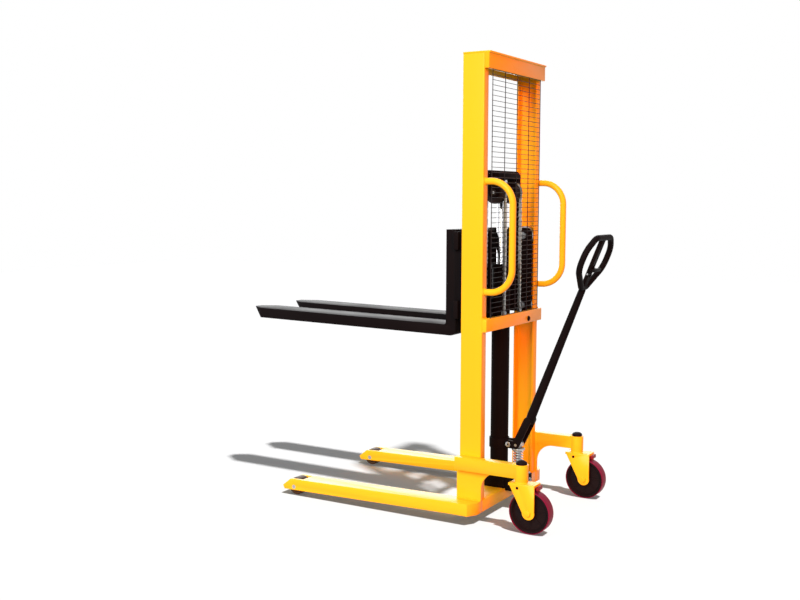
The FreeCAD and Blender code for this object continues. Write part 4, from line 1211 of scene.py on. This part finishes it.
@dataclass
class Fasteners:
    """Bolts, plugs, rings and pedal treads on the frame, carriage, pump and lift head."""

    shop: Workshop
    bolts: tuple[BoltSet, ...] = (
        BoltSet("clamp_bolts", (6.5, 5.5, 9.0), "chassis", Slot.STEEL, FORWARD,
                ((-40.0, 53.0, 844.0), (-40.0, -53.0, 844.0))),
        BoltSet("pump_plugs", (8.0, 6.0, 11.0), "chassis", Slot.STEEL, BACK,
                ((-136.0, -34.0, 124.0), (-136.0, 34.0, 124.0), (-136.0, 0.0, 104.0))),
        BoltSet("pump_screws", (6.0, 5.0, 8.0), "chassis", Slot.STEEL, UP,
                tuple((x, y, 150.0) for x in (-126.0, -67.0) for y in (-46.0, 46.0))),
        BoltSet("foot_bolts", (7.5, 6.0, 9.5), "chassis", Slot.BLACK, UP,
                tuple((x, y, 150.0) for x in (-40.0, 30.0) for y in (-54.0, 54.0))),
        BoltSet("beam_bolt", (10.5, 4.4, 12.5), "chassis", Slot.BLACK, BACK, ((-71.0, -141.0, 836.0),),
                ("beam_fittings",)))
    rings: tuple[RingSet, ...] = (
        RingSet("wiper_ring", "chassis", Slot.PLASTIC,
                ((23.0, 0.0), (31.0, 0.0), (31.0, 2.0), (27.0, 3.4), (23.0, 3.4)), ((0.0, 0.0, 1086.0),), True),
        RingSet("barrel_seal", "chassis", Slot.PLASTIC,
                ((12.6, 0.0), (19.0, 0.0), (18.0, 1.6), (12.6, 1.6)), ((-94.0, 0.0, 196.0),), True),
        RingSet("wheel_axle_rings", "ram", Slot.WIRE,
                ((6.0, -1.2), (13.5, -1.2), (13.5, 0.8), (12.5, 1.2), (6.0, 1.2)),
                ((-7.0, 105.2, 1403.0), (-7.0, -105.2, 1403.0)), False),
        RingSet("tiller_pin_rings", "chassis", Slot.STEEL,
                ((4.0, -1.2), (11.5, -1.2), (11.5, 0.8), (10.5, 1.2), (4.0, 1.2)),
                ((-58.0, 34.4, 288.0), (-58.0, -34.4, 288.0)), False))
    ring_facets: int = 48
    axle_nut: BoltSize = (10.5, 7.5, 14.0)
    axle_seat: float = 230.0
    axle_heights: tuple[float, ...] = (888.0, 1208.0)
    pedal_pin: BoltSize = (4.6, 1.8, 6.2)
    pedal_seat: Point = (-246.0, 311.0, 190.0)
    pedal_pin_half: float = 33.5
    lug: float = 7.8
    lug_eye: float = 10.0
    lug_gap: float = 3.2
    lug_sink: float = 0.2
    lug_steps: int = 8
    lug_base: tuple[float, float] = (1.02, 0.35)
    lug_seat: Point = (-52.0, 79.0, 872.0)
    pedal_bars: int = 2
    bar_pitch: float = 4.0
    bar_start: float = 2.5
    bar_sink: float = 0.6
    bar_share: float = 0.42
    bar_outline: tuple[tuple[float, float], ...] = ((-1.3, 0.0), (1.3, 0.0), (0.8, 1.4), (-0.8, 1.4))

    def set_bolts(self, name: str, size: BoltSize, places: list[tuple[Point, Point]], slot: Slot,
                  body: str, *nodes: str) -> None:
        """Sets out a group of equal bolts.

        Args:
            name: the piece's name.
            size: head radius, head height and washer radius in millimetres.
            places: seat and direction of each, in millimetres from the mast axis.
            slot: the material slot they take.
            body: the body they ride on.
            nodes: carried nodes that they stand for.
        """
        shape = hex_bolt(*(value * MM for value in size))
        seats = [(self.shop.at(*seat), Vector(way)) for seat, way in places]
        Repeater(self.shop).attach(name, shape, seats, slot, body, *nodes)

    def all_bolts(self) -> None:
        """Makes the carriage's axle nuts, the groups of bolts and the heads of the pedal pins."""
        nuts = [(side.point(0.0, self.axle_seat, z), side.point(0.0, -1.0, 0.0))
                for side in Side for z in self.axle_heights]
        self.set_bolts("roller_axle_nuts", self.axle_nut, nuts, Slot.STEEL, "carriage")
        for row in self.bolts:
            places = [(seat, row.way) for seat in row.seats]
            self.set_bolts(row.name, row.size, places, row.slot, row.body, *row.nodes)
        x, y, z = self.pedal_seat
        for side in Side:
            heads = [((x, side.sign * y + way * self.pedal_pin_half, z), (0.0, way, 0.0)) for way in SIGNS]
            self.set_bolts(side.own("pedal_pin_heads"), self.pedal_pin, heads, Slot.BLACK, side.own("castor"))

    def chain_anchors(self) -> None:
        """Adds the round-topped lugs that hold the fixed chain ends on the middle beam."""
        half, gap = self.lug * MM, self.lug_gap * MM
        outline = [(-self.lug, -self.lug_sink), (self.lug, -self.lug_sink)]
        for step in range(self.lug_steps + 1):
            turn = math.pi * step / self.lug_steps
            outline.append((self.lug * math.cos(turn), self.lug_eye + self.lug * math.sin(turn)))
        cheek = in_metres(outline)
        base = [(x * self.lug_base[0], z * self.lug_base[1]) for x, z in cheek]
        base_half = half + self.lug_sink * MM
        lug = merged([prism(cheek, -half, -gap), prism(cheek, gap, half), prism(base, -base_half, base_half)],
                     "lug")
        seats = [(self.shop.at(*side.point(*self.lug_seat)), Vector(UP)) for side in reversed(Side)]
        Repeater(self.shop).attach("chain_anchors", lug, seats, Slot.STEEL, "chassis")

    def all_rings(self) -> None:
        """Turns the groups of equal rings."""
        for row in self.rings:
            outline = in_metres(list(row.outline))
            parts = [lathe(outline, self.shop.at(*centre), self.ring_facets, row.upright)
                     for centre in row.centres]
            self.shop.attach(row.name, merged(parts, row.name), row.slot, row.body)

    def pedal_treads(self) -> None:
        """Adds raised bars on each brake pedal's pad."""
        for side in Side:
            low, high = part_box(side.own("brake_pedal"))
            width = (high.y - low.y) * self.bar_share
            y, z = (low.y + high.y) / 2, high.z - self.bar_sink * MM
            places = [(Vector((low.x + (self.bar_start + self.bar_pitch * index) * MM, y, z)), Vector(UP))
                      for index in range(self.pedal_bars)]
            bar = prism(in_metres(list(self.bar_outline)), -width, width)
            Repeater(self.shop).attach(side.own("pedal_treads"), bar, places, Slot.RED, side.own("pedal"))

    def build(self) -> None:
        """Makes every group."""
        self.all_bolts()
        self.chain_anchors()
        self.all_rings()
        self.pedal_treads()


@dataclass(frozen=True)
class Lamp:
    """An even lamp that lights the floor only, or everything but the floor."""

    name: str
    way: Point
    strength: float
    spread: float
    colour: Colour = WHITE
    lit: Lit = Lit.ALL_BUT_FLOOR
    mirrored: bool = True

    def add(self, floor: bpy.types.Object) -> None:
        """Adds the lamp to the scene.

        Args:
            floor: the floor that it spares, or lights alone.
        """
        data = bpy.data.lights.new(self.name, "SUN")
        data.energy = self.strength
        data.color = self.colour
        data.angle = math.radians(self.spread)
        lamp = new_object(self.name, data)
        lamp.visible_glossy = self.mirrored
        lamp.rotation_euler = Vector(self.way).to_track_quat("-Z", "Y").to_euler()
        reach = bpy.data.collections.new(self.name + "_reach")
        reach.objects.link(floor)
        reach.collection_objects[0].light_linking.link_state = self.lit.value
        lamp.light_linking.receiver_collection = reach


@dataclass
class Studio:
    """Pale floor, soft lights and the camera at the photo's viewing angle."""

    shop: Workshop
    eye: Point = (-1995.15, 4208.68, 1370.22)
    yaw: float = -59.10
    pitch: float = -5.47
    roll: float = 0.17
    lens_px: float = 1046.77
    frame_px: float = 800.0
    sensor: float = 36.0
    floor_half: float = 14000.0
    floor_drop: float = 0.5
    floor_colour: Colour = (0.90, 0.90, 0.90)
    floor_bounce: Colour = (0.28, 0.28, 0.28)
    floor_veil: float = 0.095
    sky: float = 0.14
    sky_colour: Colour = (0.95, 0.97, 1.0)
    lamps: tuple[Lamp, ...] = (
        Lamp("shadow", (363, -224, -800), 3.2, 2.5, lit=Lit.FLOOR_ONLY),
        Lamp("key", (0, -88, -47), 2.95, 34.0, (1.0, 0.98, 0.94)),
        Lamp("overhead", (0, 0, -1), 0.9, 60.0),
        Lamp("warm_rear", (62, -68, -25), 4.2, 40.0, (1.0, 0.14, 0.03), mirrored=False),
        Lamp("front_fill", (-62, 68, -35), 2.6, 60.0))

    def build(self) -> None:
        """Makes floor, world, lamps and camera."""
        floor = self.floor()
        self.world()
        for lamp in self.lamps:
            lamp.add(floor)
        self.camera()

    def floor(self) -> bpy.types.Object:
        """Makes the pale floor that shows only the object's shadow on white.

        Returns:
            The floor, which belongs to the stage.
        """
        mesh = bpy.data.meshes.new("floor")
        corners = ((-1, -1), (1, -1), (1, 1), (-1, 1))
        half, drop = self.floor_half * MM, self.floor_drop * MM
        mesh.from_pydata([(x * half, y * half, -drop) for x, y in corners], [], [range(len(corners))])
        mat = bpy.data.materials.new("pale_floor")
        mat.use_nodes = True
        tree = mat.node_tree
        shader = tree.nodes["Principled BSDF"]
        feed(tree, shader, {"Base Color": (*self.floor_colour, 1.0), "Roughness": 0.9,
                            "Specular IOR Level": 0.1})
        veil = add_node(tree, "ShaderNodeEmission", {"Strength": self.floor_veil})
        seen = add_node(tree, "ShaderNodeAddShader", {0: shader.outputs[0], 1: veil.outputs[0]})
        bounce = add_node(tree, "ShaderNodeBsdfDiffuse", {"Color": (*self.floor_bounce, 1.0)})
        self.backdrop(tree, bounce, seen, tree.nodes["Material Output"])
        mesh.materials.append(mat)
        floor = new_object("floor", mesh)
        return floor

    @staticmethod
    def backdrop(tree: bpy.types.NodeTree, lighting: bpy.types.Node, seen: bpy.types.Node,
                 out: bpy.types.Node) -> None:
        """Shows one shader to the rays that look at the backdrop, and another to those that light the object.

        Args:
            tree: the tree of the floor or the world.
            lighting: the shader that lights the object.
            seen: the shader that is seen, mirrored or looked at through glass.
            out: the tree's output.
        """
        path = add_node(tree, "ShaderNodeLightPath").outputs
        looks = path["Is Camera Ray"]
        for name in ("Is Glossy Ray", "Is Transmission Ray"):
            looks = math_node(tree, "MAXIMUM", looks, path[name])
        mix = add_node(tree, "ShaderNodeMixShader", {0: looks, 1: lighting.outputs[0], 2: seen.outputs[0]})
        feed(tree, out, {"Surface": mix.outputs[0]})

    def world(self) -> None:
        """White backdrop for the camera and a softer grey light for the object."""
        world = bpy.data.worlds.new("studio")
        bpy.context.scene.world = world
        world.use_nodes = True
        tree = world.node_tree
        tree.nodes.clear()
        light = add_node(tree, "ShaderNodeBackground",
                         {"Color": (*self.sky_colour, 1.0), "Strength": self.sky})
        white = add_node(tree, "ShaderNodeBackground", {"Color": (*WHITE, 1.0)})
        self.backdrop(tree, light, white, add_node(tree, "ShaderNodeOutputWorld"))

    def camera(self) -> None:
        """Sets the camera that was fitted to the photo's lines."""
        data = bpy.data.cameras.new("photo_view")
        data.sensor_fit = "HORIZONTAL"
        data.sensor_width = self.sensor
        data.lens = self.lens_px * self.sensor / self.frame_px
        data.clip_end = 100.0
        camera = new_object("photo_view", data)
        camera.location = self.shop.at(*self.eye)
        yaw, pitch = math.radians(self.yaw), math.radians(self.pitch)
        aim = Vector((math.cos(pitch) * math.cos(yaw), math.cos(pitch) * math.sin(yaw), math.sin(pitch)))
        turn = aim.to_track_quat("-Z", "Y").to_matrix() @ Matrix.Rotation(math.radians(self.roll), 3, "Z")
        camera.rotation_euler = turn.to_euler()
        bpy.context.scene.camera = camera


def main() -> None:
    """Builds every sub-assembly, then the studio."""
    logging.basicConfig(level=logging.INFO)
    shop = Workshop(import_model())
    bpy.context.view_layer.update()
    bpy.context.scene.view_settings.view_transform = "Standard"
    shop.prepare()
    shop.dress_nodes()
    Edges(shop).build()
    Guard(shop).build()
    LiftChains(shop).build()
    PumpSpring(shop).build()
    for side in Side:
        CastorWheel(shop, side).build()
    LoadRollers(shop).build()
    Welds(shop).build()
    Fasteners(shop).build()
    Studio(shop).build()


if __name__ == "__main__":
    main()
